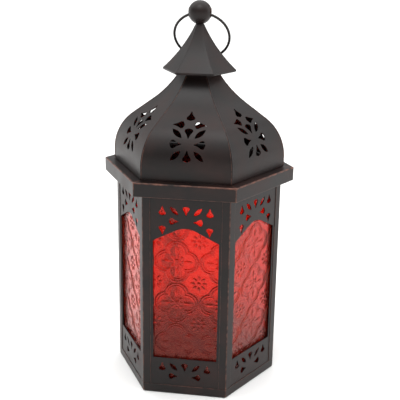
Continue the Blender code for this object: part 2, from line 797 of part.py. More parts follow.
def ball_middle():
    return cap_top() + GAP + BALL_RADIUS


def make_finial():
    """What holds the cap and the ball: a plate over the neck, a stud through it with a nut below,
    and a spacer tube inside the cap."""
    plate_bottom = dome_top() + GAP
    plate_top = plate_bottom + SHEET
    outer = NECK_RADIUS + CROWN_PLATE_LAP
    hole = corner_radius(STUD_RADIUS + RUN_GAP)
    profile = [(outer, plate_top), (outer, plate_bottom), (hole, plate_bottom), (hole, plate_top)]
    turned("crown_plate", profile, SIDES, IRON)

    nut_top = plate_bottom - GAP
    loops = [circle(NUT_RADIUS, SIDES), circle(STUD_RADIUS + RUN_GAP, SMALL_CIRCLE_STEPS)]
    nut = flat_outline("finial_nut", loops, NUT_HEIGHT, STEEL)
    nut.location.z = nut_top - NUT_HEIGHT / 2

    stud_bottom = nut_top - NUT_HEIGHT - STUD_TAIL
    stud_top = ball_middle() - ring_bore() - BALL_WALL - GAP
    stud_profile = [(0, stud_top), (STUD_RADIUS, stud_top), (STUD_RADIUS, stud_bottom), (0, stud_bottom)]
    turned("finial_stud", stud_profile, SMALL_CIRCLE_STEPS, STEEL, closed=False)

    bottom, top = plate_top + GAP, cap_top() - SPACER_TOP_DROP
    inner = STUD_RADIUS + RUN_GAP
    tube = [(SPACER_RADIUS, top), (SPACER_RADIUS, bottom), (inner, bottom), (inner, top)]
    turned("finial_spacer", tube, SMALL_CIRCLE_STEPS, STEEL)


def ring_bore():
    """The bore that lets the bent wire lie and turn in the ball."""
    bow = RING_RADIUS - math.sqrt(RING_RADIUS**2 - BALL_RADIUS**2)
    return bow + RING_WIRE + RING_DROP + RUN_GAP


def make_ball():
    """The finial ball, turned about the X axis with the ring's bore through it. The stud screws
    into a blind hole from below."""
    bore = ring_bore()
    side = math.acos(bore / BALL_RADIUS)  # from the ball's middle plane to the edge of the bore
    outside = arc((0, 0), BALL_RADIUS, math.pi / 2 - side, 2 * side, BALL_STEPS)
    profile = [(radius, along_bore) for along_bore, radius in reversed(outside)]
    ball = turned("finial_ball", list(reversed(profile)), CIRCLE_STEPS, IRON)
    ball.rotation_euler.y = math.pi / 2
    ball.location.z = ball_middle()

    depth = BALL_RADIUS - bore - BALL_WALL
    hole_radius = STUD_RADIUS + RUN_GAP
    profile = [(0, depth), (hole_radius, depth), (hole_radius, -depth), (0, -depth)]
    hole = turned("stud_hole", profile, SMALL_CIRCLE_STEPS, IRON, closed=False)
    hole.location.z = ball_middle() - BALL_RADIUS
    cut(ball, as_cutter(hole))


def ring_lean():
    """The ring's lean from the vertical, at rest, where its lowest point lies on the cap's rear."""
    face = [Vector((radius * FLATNESS, height)) for radius, height in cap_profile()]
    reach = RING_DROP + 2 * RING_RADIUS

    def clearance(lean):
        wire = Vector((reach * math.sin(lean), ball_middle() - reach * math.cos(lean)))
        nearest = [distance_to_line(wire, a, b) for a, b in zip(face, face[1:])]
        return min(nearest) - RING_WIRE - GAP

    low, high = math.radians(10), math.radians(85)
    while high - low > 1e-4:
        middle = (low + high) / 2
        inside = reach * math.sin(middle) < flat_at(face, ball_middle() - reach * math.cos(middle))
        if inside or clearance(middle) < 0:
            low = middle
        else:
            high = middle
    return high


def distance_to_line(point, start, end):
    step = end - start
    share = min(max((point - start).dot(step) / step.length_squared, 0), 1)
    return (point - start - step * share).length


def flat_at(face, height):
    """The distance of the cap's face from the axis at this height."""
    for upper, lower in zip(face, face[1:]):
        if lower.y <= height <= upper.y:
            return lower.x + (upper.x - lower.x) * (height - lower.y) / (upper.y - lower.y)
    return 0.0


def make_ring():
    """The ring of round wire that the lantern hangs from. It lies back against the cap."""
    lean = ring_lean()
    bpy.ops.mesh.primitive_torus_add(
        major_radius=RING_RADIUS, minor_radius=RING_WIRE, major_segments=48, minor_segments=10
    )
    ring = bpy.context.object
    ring.name = ring.data.name = "ring"
    for holder in list(ring.users_collection):
        holder.objects.unlink(ring)
    LANTERN.objects.link(ring)
    ring.data.materials.append(own_material("ring", STEEL))
    ring.rotation_euler.x = math.pi / 2 + lean
    down = Vector((0, math.sin(lean), -math.cos(lean)))
    ring.location = Vector((0, 0, ball_middle())) + down * (RING_DROP + RING_RADIUS)
    smooth(ring, 60)
    return ring


def hold(items, name, place):
    """Parents the pieces that move together to an empty on their joint's axis."""
    axis = bpy.data.objects.new(name, None)
    axis.empty_display_size = 0.01
    axis.location = place
    LANTERN.objects.link(axis)
    bpy.context.view_layer.update()
    for item in items:
        item.parent = axis
        item.matrix_parent_inverse = axis.matrix_world.inverted()


clear_scene()
LANTERN = new_collection("candle_lantern")
CUTTERS = new_collection("cutters")
IRON = new_material("painted_iron", (0.035, 0.031, 0.03), 0.5, 0.3)
STEEL = new_material("dark_steel_wire", (0.05, 0.048, 0.046), 0.42, 0.7)
GLASS = new_material("red_pressed_glass", (0.75, 0.035, 0.02), 0.12, 0.0, 1.0)

make_base_pan()
make_posts()
make_tie_ring()
make_side_panels()
make_fixed_panes()
make_candle_cup()
door = make_door() + make_hinges() + [make_knob()]
latch = make_latch()
make_eave()
make_gores()
make_finial()
make_cap()
make_ball()
ring = make_ring()

latch_place = Vector((-latch_across(), BODY_FLAT, LATCH_HEIGHT))
hold(door, "door_hinge_axis", hinge_axis())
hold([latch], "latch_axis", latch_place)
hold([ring], "ring_axis", Vector((0, 0, ball_middle())))
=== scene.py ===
"""A six-sided candle lantern of pierced, painted sheet iron, glazed with red pressed glass.

Metres, +Z up, with the origin in the middle of the base's underside. The rear face, on +Y, is the
door. The sections follow the lantern as it is put together, from the base pan up to the ring.
"""

import json
import math

import bmesh
import bpy
import numpy as np
from mathutils import Matrix, Vector


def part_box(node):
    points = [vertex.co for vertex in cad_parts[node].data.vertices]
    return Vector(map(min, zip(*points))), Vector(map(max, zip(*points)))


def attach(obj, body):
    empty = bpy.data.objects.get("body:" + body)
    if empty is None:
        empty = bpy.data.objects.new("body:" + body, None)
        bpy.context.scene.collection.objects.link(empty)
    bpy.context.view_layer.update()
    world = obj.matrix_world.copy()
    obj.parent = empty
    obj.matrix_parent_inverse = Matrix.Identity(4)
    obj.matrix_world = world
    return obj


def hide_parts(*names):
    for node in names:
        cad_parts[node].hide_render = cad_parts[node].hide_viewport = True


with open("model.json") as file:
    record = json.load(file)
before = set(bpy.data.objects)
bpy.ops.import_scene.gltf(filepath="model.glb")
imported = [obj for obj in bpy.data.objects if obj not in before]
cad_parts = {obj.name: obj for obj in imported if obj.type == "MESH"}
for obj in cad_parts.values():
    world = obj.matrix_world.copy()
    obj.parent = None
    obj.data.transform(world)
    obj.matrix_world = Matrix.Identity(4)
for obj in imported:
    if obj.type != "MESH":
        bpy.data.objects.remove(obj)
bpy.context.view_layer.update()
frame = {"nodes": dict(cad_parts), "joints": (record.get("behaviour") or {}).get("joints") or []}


# ----------------------------------------------------------
# Base pan. It is pressed from one sheet of iron, with its rim turned up square to the floor.
# Satin black-brown paint covers it, rubbed through to the reddish undercoat along the rim.

SHEET = 0.0008
SIDES = 6
HALF_SIDE = math.pi / SIDES
BODY_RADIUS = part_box("post_right")[1].x
BODY_FLAT = BODY_RADIUS * math.cos(HALF_SIDE)
PAN_EDGE_ROUNDING = 0.0012
PAN_LIP_ROUNDING = 0.00025
FOLD_ROUNDING = 0.0006

PAINT = "#140e0d"
PAINT_WARM = "#261613"
UNDERCOAT = "#7c5244"
BLOTCH = 0.028  # width of the paint's warm and cool patches
ORANGE_PEEL = 0.0011  # ripple of sprayed paint, drawn coarser than the real 0.4 mm so that it shows
RUB_GRAIN = 0.0035  # length of the breaks in a rubbed edge


def linear(colour):
    """An sRGB hex colour as linear RGBA."""
    share = np.array([int(colour[i : i + 2], 16) / 255 for i in (1, 3, 5)])
    value = np.where(share <= 0.04045, share / 12.92, ((share + 0.055) / 1.055) ** 2.4)
    return (*value.tolist(), 1.0)


def plug(made, inputs):
    """Sets a node's inputs by name or number: each to a value, or linked to another node's output."""
    for key, value in inputs.items():
        if isinstance(value, bpy.types.NodeSocket):
            made.id_data.links.new(value, made.inputs[key])
        else:
            made.inputs[key].default_value = value


def node(tree, kind, inputs=(), **settings):
    """Adds a node of this kind, with these settings and inputs."""
    made = tree.nodes.new("ShaderNode" + kind)
    for key, value in settings.items():
        setattr(made, key, value)
    plug(made, dict(inputs))
    return made


def start_material(name):
    """A new material, its tree, its shader and the place on the piece, for textures."""
    made = bpy.data.materials.new(name)
    made.use_nodes = True
    tree = made.node_tree
    return made, tree, tree.nodes["Principled BSDF"], node(tree, "TexCoord").outputs["Object"]


def make_painted_iron():
    """Sheet iron sprayed with satin enamel: near black with warm patches, a faint orange-peel ripple,
    and a red-brown undercoat where handling has rubbed the edges."""
    made, tree, shader, place = start_material("sheet_iron_sprayed_satin_enamel")
    blotch = node(tree, "TexNoise", {"Vector": place, "Scale": 1 / BLOTCH, "Detail": 3.0})
    warmth = node(tree, "MapRange", {"Value": blotch.outputs["Fac"], "From Min": 0.42, "From Max": 0.72})
    paint = node(
        tree,
        "Mix",
        {0: warmth.outputs["Result"], 6: linear(PAINT), 7: linear(PAINT_WARM)},
        data_type="RGBA",
    )
    breaks = {"Vector": place, "Scale": 1 / RUB_GRAIN, "Detail": 5.0, "Roughness": 0.65}
    grain = node(tree, "TexNoise", breaks)
    rub = node(tree, "Attribute", attribute_name="rub")
    level = node(tree, "Math", {0: rub.outputs["Fac"], 1: grain.outputs["Fac"]}, operation="MULTIPLY")
    bare = node(
        tree,
        "MapRange",
        {"Value": level.outputs["Value"], "From Min": 0.2, "From Max": 0.5, "To Max": 0.75},
        interpolation_type="SMOOTHSTEP",
    )
    colour = node(
        tree,
        "Mix",
        {0: bare.outputs["Result"], 6: paint.outputs[2], 7: linear(UNDERCOAT)},
        data_type="RGBA",
    )
    gloss = node(
        tree,
        "MapRange",
        {"Value": blotch.outputs["Fac"], "From Min": 0.3, "From Max": 0.7, "To Min": 0.3, "To Max": 0.42},
    )
    peel = node(tree, "TexNoise", {"Vector": place, "Scale": 1 / ORANGE_PEEL, "Detail": 2.0})
    bump = node(tree, "Bump", {"Height": peel.outputs["Fac"], "Strength": 0.12, "Distance": 0.0002})
    looks = {
        "Specular IOR Level": 0.27,
        "Base Color": colour.outputs[2],
        "Roughness": gloss.outputs["Result"],
        "Normal": bump.outputs["Normal"],
    }
    plug(shader, looks)
    return made


painted_iron = make_painted_iron()


def finish_mesh(data, material, sharp_above=38):
    """Merges doubles, turns the faces outwards and shades the mesh smooth between its edges."""
    bm = bmesh.new()
    bm.from_mesh(data)
    bmesh.ops.remove_doubles(bm, verts=bm.verts, dist=2e-7)
    bmesh.ops.dissolve_degenerate(bm, edges=bm.edges, dist=1e-7)
    bmesh.ops.recalc_face_normals(bm, faces=bm.faces)
    bm.to_mesh(data)
    bm.free()
    data.shade_smooth()
    data.set_sharp_from_angle(angle=math.radians(sharp_above))
    data.materials.clear()
    data.materials.append(material)


def store(data, name, shares):
    """Gives each vertex a share from 0 to 1, such as how far handling has rubbed it."""
    values = np.ravel(shares).astype(np.float32)
    data.attributes.new(name, "FLOAT", "POINT").data.foreach_set("value", values)


def skin(name, grid, rub, material, wrap_rows=False, wrap_columns=True, caps=False):
    """A surface over a grid of places: rows by columns by XYZ. A wrapped side closes on itself, and
    caps fill the first and last row."""
    rows, columns = grid.shape[:2]
    i = np.arange(rows if wrap_rows else rows - 1)[:, None]
    j = np.arange(columns if wrap_columns else columns - 1)[None, :]
    below, beside = (i + 1) % rows, (j + 1) % columns
    faces = np.stack(
        [i * columns + j, i * columns + beside, below * columns + beside, below * columns + j], axis=-1
    )
    faces = faces.reshape(-1, 4).tolist()
    if caps:
        faces += [list(range(columns)), list(range((rows - 1) * columns, rows * columns))]
    data = bpy.data.meshes.new(name)
    data.from_pydata(grid.reshape(-1, 3), [], faces)
    store(data, "rub", np.broadcast_to(rub, (rows, columns)))
    finish_mesh(data, material)
    return new_piece(name, data)


def new_piece(name, data):
    made = bpy.data.objects.new(name, data)
    bpy.context.scene.collection.objects.link(made)
    return made


def stand_for(piece, body, slot, *nodes):
    """The piece rides on a body and stands for these CAD nodes, which it hides. The slot is not used."""
    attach(piece, body)
    if nodes:
        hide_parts(*nodes)
    return piece


def rounded(corners, radius, rub=0.0, closed=True, steps=4, fade=0.0012):
    """A line through these corners with each one turned into an arc, and how rubbed each point is.
    The arc's middle lies on the corner's bisector, and it leaves the sides where a circle of that
    radius touches them. A point beyond each end of an arc is where the rubbing has faded out. An
    open line keeps its two ends."""
    corners = np.asarray(corners, float)
    back, ahead = np.roll(corners, 1, 0) - corners, np.roll(corners, -1, 0) - corners
    back_length = np.linalg.norm(back, axis=1, keepdims=True)
    ahead_length = np.linalg.norm(ahead, axis=1, keepdims=True)
    back, ahead = back / back_length, ahead / ahead_length
    half = np.arccos(np.clip((back * ahead).sum(1, keepdims=True), -1, 1)) / 2
    room = np.minimum(back_length, ahead_length) / 2
    radius = np.broadcast_to(radius, len(corners))[:, None]
    radius = np.minimum(radius, 0.9 * room * np.tan(half))
    reach = radius / np.tan(half)
    bisector = back + ahead
    bisector /= np.linalg.norm(bisector, axis=1, keepdims=True)
    middle = corners + bisector * radius / np.sin(half)
    start, end = corners + back * reach - middle, corners + ahead * reach - middle
    sweep = math.pi - 2 * half
    share = np.linspace(0, 1, steps + 1)
    from_start = (np.sin((1 - share) * sweep) / np.sin(sweep))[..., None]
    from_end = (np.sin(share * sweep) / np.sin(sweep))[..., None]
    arcs = middle[:, None] + from_start * start[:, None] + from_end * end[:, None]
    faded = np.minimum(reach + fade, (reach + room) / 2)
    points = np.concatenate(
        [(corners + back * faded)[:, None], arcs, (corners + ahead * faded)[:, None]], axis=1
    )
    worn = np.zeros(points.shape[:2])
    worn[:, 1:-1] = np.broadcast_to(rub, len(corners))[:, None]
    if closed:
        return points.reshape(-1, 2), worn.ravel()
    inner = points[1:-1].reshape(-1, 2)
    return (
        np.concatenate([corners[:1], inner, corners[-1:]]),
        np.concatenate([[0], worn[1:-1].ravel(), [0]]),
    )


def six_sided(section, rub, rounding=FOLD_ROUNDING, ridge_rub=0.6, fade=0.0015):
    """Carries a section of (face distance, height) points round a hexagon with rounded corners.
    At face distance f and corner rounding r, a point is (f - r)A + rB + C: A runs along the sides
    of the smaller hexagon, B is the way the surface faces, which turns at a corner, and C steps
    back from the corner, to where its rubbing has faded out."""
    arc_share = np.linspace(0, 1, 5)
    along = np.concatenate([[-1, 0, 1], np.ones(5)])
    turn = np.concatenate([[0, 0, 0], arc_share * 2 * HALF_SIDE])
    step = np.concatenate([[1, 0, -1], np.zeros(5)])
    ridge = np.concatenate([[0, 0, 0], np.ones(5)]) * ridge_rub
    facing = (2 * np.arange(SIDES)[:, None] + 1) * HALF_SIDE

    def direction(angle):
        return np.stack(np.broadcast_arrays(np.cos(angle), np.sin(angle)), axis=-1)

    normal, side = direction(facing)[:, None, 0], direction(facing + math.pi / 2)[:, None, 0]
    a = normal + math.tan(HALF_SIDE) * along[:, None] * side
    b = direction(facing + turn)
    c = step[:, None] * side
    distance, height = section[:, 0, None, None, None], section[:, 1]
    r = np.minimum(rounding, 0.4 * distance)
    flat = (distance - r) * a + r * b + np.minimum(fade, 0.2 * distance) * c
    flat = flat.reshape(len(section), -1, 2)
    grid = np.concatenate([flat, np.broadcast_to(height[:, None, None], (*flat.shape[:2], 1))], axis=2)
    worn = np.maximum(rub[:, None], np.tile(ridge, SIDES)[None, :])
    return grid, worn


pan_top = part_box("base_pan")[1].z
section, rub = rounded(
    [
        (0, SHEET),
        (BODY_FLAT - SHEET, SHEET),
        (BODY_FLAT - SHEET, pan_top),
        (BODY_FLAT, pan_top),
        (BODY_FLAT, 0),
        (0, 0),
    ],
    [0, 0.0005, PAN_LIP_ROUNDING, PAN_LIP_ROUNDING, PAN_EDGE_ROUNDING, 0],
    [0, 0, 0.4, 0.6, 0.4, 0],
    closed=False,
)
grid, rub = six_sided(section, rub)
stand_for(skin("base_pan_pressed", grid, rub, painted_iron), "lantern", "painted_iron", "base_pan")


# ----------------------------------------------------------
# Corner posts. Each is folded from sheet: two outer legs show at the corner, a web stands behind
# them, and two inner legs keep the panes in. The folded corner and the legs' edges are rubbed.

POST_LEG = 0.006
INNER_LEG = 0.0075
LEG_EDGE_ROUNDING = 0.00015
GAP = 0.0003
GLASS_THICKNESS = 0.003
GLASS_DEPTH = 2 * (SHEET + GAP)
LEG_SHEET = 0.0004  # outer legs, drawn thinner than the sheet so that the panels sit nearly flush
INNER_LEG_DEPTH = GLASS_DEPTH + GLASS_THICKNESS + GAP
CORNERS = {
    "right": 0,
    "rear_right": 60,
    "rear_left": 120,
    "left": 180,
    "front_left": 240,
    "front_right": 300,
}


def post_section():
    """The post seen from above, at the corner on +X. Corners on one side are given by their
    distance along the face and their depth behind it, and the other side mirrors them."""
    tilt = math.tan(HALF_SIDE)
    web = SHEET / 2 / math.cos(HALF_SIDE)
    back = INNER_LEG_DEPTH + SHEET
    along = np.array(
        [POST_LEG, POST_LEG, web + LEG_SHEET * tilt, web + INNER_LEG_DEPTH * tilt, INNER_LEG, INNER_LEG]
    )
    depth = np.array([0, LEG_SHEET, LEG_SHEET, INNER_LEG_DEPTH, INNER_LEG_DEPTH, back])
    x = BODY_RADIUS - along * math.sin(HALF_SIDE) - depth * math.cos(HALF_SIDE)
    y = along * math.cos(HALF_SIDE) - depth * math.sin(HALF_SIDE)
    half = np.stack([x, y], axis=1)
    other = half[::-1] * (1, -1)
    ridge = BODY_RADIUS - back / math.cos(HALF_SIDE)
    corners = np.concatenate([[(BODY_RADIUS, 0)], half, [(ridge, 0)], other])
    e, f = LEG_EDGE_ROUNDING, 0.0003
    radius = [FOLD_ROUNDING, e, e, f, f, e, e, FOLD_ROUNDING, e, e, f, f, e, e]
    rub = [0.6, 0.75, 0.3, 0, 0, 0, 0, 0, 0, 0, 0, 0, 0.3, 0.75]
    return rounded(corners, radius, rub)


def turned_about_z(points, degrees):
    c, s = math.cos(math.radians(degrees)), math.sin(math.radians(degrees))
    return points @ np.array([[c, s], [-s, c]])


def prism(name, outline, levels, rub, place=None):
    """An outline carried up through these levels, with flat ends."""
    flat = np.broadcast_to(outline, (len(levels), *outline.shape))
    up = np.broadcast_to(np.asarray(levels, float)[:, None, None], (*flat.shape[:2], 1))
    grid = np.concatenate([flat, up], axis=2)
    if place:
        grid = place(grid)
    return skin(name, grid, rub, painted_iron, caps=True)


outline, post_rub = post_section()
for corner, degrees in CORNERS.items():
    low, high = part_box(f"post_{corner}")
    post = prism(f"corner_post_{corner}", turned_about_z(outline, degrees), (low.z, high.z), post_rub)
    stand_for(post, "lantern", "painted_iron", f"post_{corner}")


# ----------------------------------------------------------
# Tie ring. A band of sheet soldered inside the tops of the posts holds them to the eave.

ring_low, ring_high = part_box("tie_ring")
tie_outer = ring_high.x * math.cos(HALF_SIDE)
section, rub = rounded(
    [
        (tie_outer, ring_high.z),
        (tie_outer, ring_low.z),
        (tie_outer - SHEET, ring_low.z),
        (tie_outer - SHEET, ring_high.z),
    ],
    LEG_EDGE_ROUNDING,
)
grid, rub = six_sided(section, rub, ridge_rub=0)
tie_ring = skin("tie_ring_band", grid, rub, painted_iron, wrap_rows=True)
stand_for(tie_ring, "lantern", "painted_iron", "tie_ring")


# ----------------------------------------------------------
# Side panels. Thin sheet, blanked with a window and pierced with flowers of tulip and leaf holes,
# which the punch leaves with slightly rounded edges. They slide in behind the posts' outer legs.

PUNCHED_EDGE = 0.00018
HALF_FACE = BODY_RADIUS / 2
FACES = {
    "front": 270,
    "front_right": 330,
    "rear_right": 30,
    "rear": 90,
    "rear_left": 150,
    "front_left": 210,
}
EAVE_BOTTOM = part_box("eave")[0].z
PANEL_CLEARANCE = 0.00005
PANEL_DEPTH = LEG_SHEET + PANEL_CLEARANCE
WINDOW_MARGIN = 0.008
WINDOW_HALF_WIDTH = HALF_FACE - WINDOW_MARGIN
WINDOW_SILL = 0.031
WINDOW_SHOULDER = EAVE_BOTTOM - 0.0362
WINDOW_PEAK = EAVE_BOTTOM - 0.0256
WINDOW_CROWN = 0.007
WINDOW_CROWN_RISE = 0.0015
UPPER_FLOWER = EAVE_BOTTOM - 0.0203
LOWER_FLOWER = WINDOW_SILL - 0.0156
PETAL_PITCH = 0.0089  # flower's middle to a petal's, across
PETAL_RISE = 0.0082  # and up
SIDE_TULIP_OUT = 0.0178
SIDE_TULIP_DROP = 0.0075
TULIP_LENGTH = 0.0077
TULIP_WIDTH = 0.0053
LEAF_LENGTH = 0.0087
LEAF_WIDTH = 0.0032


def on_face(degrees, across, up, out):
    """Places on the face that looks this way: across it to the right, up, and out from the plane
    of the posts."""
    angle = math.radians(degrees)
    distance = BODY_FLAT + out
    x = distance * math.cos(angle) - across * math.sin(angle)
    y = distance * math.sin(angle) + across * math.cos(angle)
    return np.stack(np.broadcast_arrays(x, y, up), axis=-1)


def tulip():
    """A hole like a tulip in outline, its tip on +X: hollow sides flare to round shoulders, and the
    base is drawn to a blunt point. Shares of its length and width, then rounded."""
    shares = np.array([(0.5, 0), (0.1, 0.2), (-0.2, 0.5), (-0.37, 0.47), (-0.44, 0.24), (-0.5, 0)])
    side = shares * (TULIP_LENGTH, TULIP_WIDTH)
    corners = np.concatenate([side, side[-2:0:-1] * (1, -1)])
    radius = np.array([0.0003, 0.003, 0.0007, 0.0007, 0.0012, 0.0008])
    return rounded(corners, np.concatenate([radius, radius[-2:0:-1]]), steps=5, fade=0)[0]


def leaf():
    """A hole with two round sides that meet in a point at each end. Half its width at c half
    lengths from the middle is 1 - c squared."""
    c = np.linspace(1, -1, 17)
    side = np.stack([LEAF_LENGTH / 2 * c, LEAF_WIDTH / 2 * (1 - c**2)], axis=1)
    return np.concatenate([side, side[-2:0:-1] * (1, -1)])


def punched(shape, x, y, pointing):
    """A hole's outline, turned to point this way, at its place."""
    return turned_about_z(shape, pointing) + (x, y)


def half_flower(height):
    """The petals beside and above a flower's middle."""
    p, above = PETAL_PITCH, height + PETAL_RISE
    return [
        punched(tulip(), -p, height, 0),
        punched(tulip(), p, height, 180),
        punched(tulip(), 0, above, 270),
        punched(leaf(), -p, above, 135),
        punched(leaf(), p, above, 45),
    ]


def window():
    """The window: upright sides and a pointed head with a round crown."""
    c = np.linspace(1, -1, 13)
    crown = np.stack([WINDOW_CROWN * c, WINDOW_PEAK - WINDOW_CROWN_RISE * c**2], axis=1)
    left, right = -WINDOW_HALF_WIDTH, WINDOW_HALF_WIDTH
    corners = [(left, WINDOW_SILL), (right, WINDOW_SILL), (right, WINDOW_SHOULDER)]
    return np.concatenate([corners, crown, [(left, WINDOW_SHOULDER)]])


def panel_holes():
    holes = [window(), *half_flower(UPPER_FLOWER), *half_flower(LOWER_FLOWER)]
    for x in (-SIDE_TULIP_OUT, SIDE_TULIP_OUT):
        holes.append(punched(tulip(), x, UPPER_FLOWER + PETAL_RISE, 90))
        holes.append(punched(tulip(), x, UPPER_FLOWER - SIDE_TULIP_DROP, 270))
        holes.append(punched(tulip(), x, LOWER_FLOWER + PETAL_RISE, 90))
    return holes


def rectangle(half_width, bottom, top):
    return np.array([(-half_width, bottom), (half_width, bottom), (half_width, top), (-half_width, top)])


def cut_sheet(name, loops, thickness=SHEET, edge=PUNCHED_EDGE, steps=2):
    """A flat sheet's mesh, centred on its own plane: the first loop is its outline and the others
    are its holes. Returns the mesh and its points."""
    curve = bpy.data.curves.new(name, "CURVE")
    curve.dimensions = "2D"
    curve.fill_mode = "BOTH"
    curve.extrude = thickness / 2 - edge
    curve.bevel_depth = edge
    curve.bevel_resolution = steps
    curve.offset = -edge
    for loop in loops:
        spline = curve.splines.new("POLY")
        spline.points.add(len(loop) - 1)
        flat = np.column_stack([loop, np.zeros(len(loop)), np.ones(len(loop))])
        spline.points.foreach_set("co", flat.ravel())
        spline.use_cyclic_u = True
    guide = new_piece(name, curve)
    bpy.context.view_layer.update()
    data = bpy.data.meshes.new_from_object(guide.evaluated_get(bpy.context.evaluated_depsgraph_get()))
    bpy.data.objects.remove(guide)
    bpy.data.curves.remove(curve)
    return data, places_of(data)


def places_of(data):
    places = np.empty(3 * len(data.vertices))
    data.vertices.foreach_get("co", places)
    return places.reshape(-1, 3)


def sheet_piece(name, data, places, rub, material=painted_iron, sharp_above=38):
    """A piece from a cut sheet's mesh, moved to these places. Its flats keep their own shading."""
    data.vertices.foreach_set("co", places.ravel())
    store(data, "rub", rub)
    finish_mesh(data, material, sharp_above)
    data.name = name
    made = new_piece(name, data)
    made.modifiers.new("flats", "WEIGHTED_NORMAL").keep_sharp = True
    return made


def edge_rub(points, thickness=SHEET):
    """1 on the rounded edge of a cut sheet and 0 on its two flats."""
    return (np.abs(points[:, 2]) < thickness / 2 - 1e-6).astype(float)


def room_beside_post(depth):
    """Half the width between two posts' webs at this depth, less the clearance."""
    return HALF_FACE - (SHEET / 2 + GAP + depth * math.sin(HALF_SIDE)) / math.cos(HALF_SIDE)


for face, degrees in FACES.items():
    if face == "rear":
        continue
    low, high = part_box(f"panel_{face}")
    outer_loop = rectangle(room_beside_post(PANEL_DEPTH + SHEET), low.z, high.z)
    data, points = cut_sheet(f"panel_{face}_pierced", [outer_loop, *panel_holes()])
    across, up, out = points.T
    places = on_face(degrees, across, up, out - PANEL_DEPTH - SHEET / 2)
    panel = sheet_piece(f"panel_{face}_pierced", data, places, 0.3 * edge_rub(points))
    stand_for(panel, "lantern", "painted_iron", f"panel_{face}")


# ----------------------------------------------------------
# Panes. Red glass rolled over a patterned roller: a lattice of quatrefoils in double outline, each
# round four leaves, with eight-petalled flowers between them, on a stippled ground.

LATTICE = 0.0341
LATTICE_ACROSS = -0.0070
LATTICE_UP = 0.1122
LOBE_RADIUS = 0.0083
LOBE_OFFSET = 0.0078
RELIEF = 0.0006
OUTLINE_WIDTH = 0.0006
INNER_OUTLINE = 0.0018
RELIEF_MARGIN = 0.0012  # of patterned glass modelled behind the window's edge
RELIEF_STEP = 0.00034
PATTERN_SHIFT = np.array([0.0113, 0.0071])  # from one pane to the next, across and up
STIPPLE = 0.0016
PAINTED_SHADE_PER_RISE = 1.5  # painted shade: how much darker the red is drawn beside a raised line, for each unit that the relief rises in a step


def ridge(distance, width=OUTLINE_WIDTH):
    return np.exp(-((distance / width) ** 2))


def spindle(u, v, degrees, middle, half_length, half_width):
    """1 in the middle of a pointed oval whose own middle lies this far along a direction, falling
    to 0 at its edge: 1 - (a/length) squared - (b/width) squared."""
    c, s = math.cos(math.radians(degrees)), math.sin(math.radians(degrees))
    a, b = c * u + s * v - middle, c * v - s * u
    return np.clip(1 - (a / half_length) ** 2 - (b / half_width) ** 2, 0, 1)


def relief(across, up):
    """The height of the pattern, from 0 to 1. Each place is folded into one cell of the lattice,
    and the quatrefoil's outline is where the nearest of four lobe circles is reached."""
    u = (across + LATTICE / 2) % LATTICE - LATTICE / 2
    v = (up + LATTICE / 2) % LATTICE - LATTICE / 2
    lobes = [
        np.hypot(u - LOBE_OFFSET * x, v - LOBE_OFFSET * y) - LOBE_RADIUS
        for x, y in ((1, 0), (-1, 0), (0, 1), (0, -1))
    ]
    outline = np.minimum.reduce(lobes)
    height = np.maximum(ridge(outline), 0.75 * ridge(outline + INNER_OUTLINE))
    for degrees in range(0, 360, 90):
        height = np.maximum(height, spindle(u, v, degrees, 0.0086, 0.0036, 0.0013))
        height = np.maximum(height, 0.8 * spindle(u, v, degrees + 45, 0.0044, 0.0018, 0.0009))
        height = np.maximum(height, 0.7 * spindle(u, v, degrees, 0.0036, 0.0014, 0.0008))
    height = np.maximum(height, spindle(u, v, 0, 0, 0.0014, 0.0014))
    u, v = across % LATTICE - LATTICE / 2, up % LATTICE - LATTICE / 2
    for degrees in range(0, 360, 45):
        height = np.maximum(height, spindle(u, v, degrees, 0.0046, 0.0021, 0.0011))
    return np.maximum(height, spindle(u, v, 0, 0, 0.0016, 0.0016))


def make_red_glass():
    """Soda-lime glass, rolled with a relief and coloured red: it glows where light is behind it, and a
    fine stipple breaks up what is seen through it. Beside the raised lines the red is darkened as
    painted shade, so that the relief still shows where the light behind it is even."""
    made, tree, shader, place = start_material("soda_glass_rolled_red")
    deeper = node(tree, "Attribute", attribute_name="deeper")
    # painted shade: the darker second red is laid beside the relief's raised lines
    colour = node(
        tree,
        "Mix",
        {0: deeper.outputs["Fac"], 6: linear("#ec5642"), 7: linear("#a02c1c")},
        data_type="RGBA",
    )
    stipple = node(tree, "TexNoise", {"Vector": place, "Scale": 1 / STIPPLE, "Detail": 3.0})
    bump = node(tree, "Bump", {"Height": stipple.outputs["Fac"], "Strength": 0.4, "Distance": 0.0004})
    looks = {
        "Roughness": 0.2,
        "IOR": 1.45,
        "Specular Tint": linear("#ffc0b6"),
        "Transmission Weight": 0.93,
        "Base Color": colour.outputs[2],
        "Normal": bump.outputs["Normal"],
    }
    plug(shader, looks)
    return made


red_glass = make_red_glass()


def spaced(low, high, fine_low, fine_high):
    """Places from low to high, close together in the patterned stretch."""
    count = round((fine_high - fine_low) / RELIEF_STEP)
    return np.concatenate([[low], np.linspace(fine_low, fine_high, count), [high]])


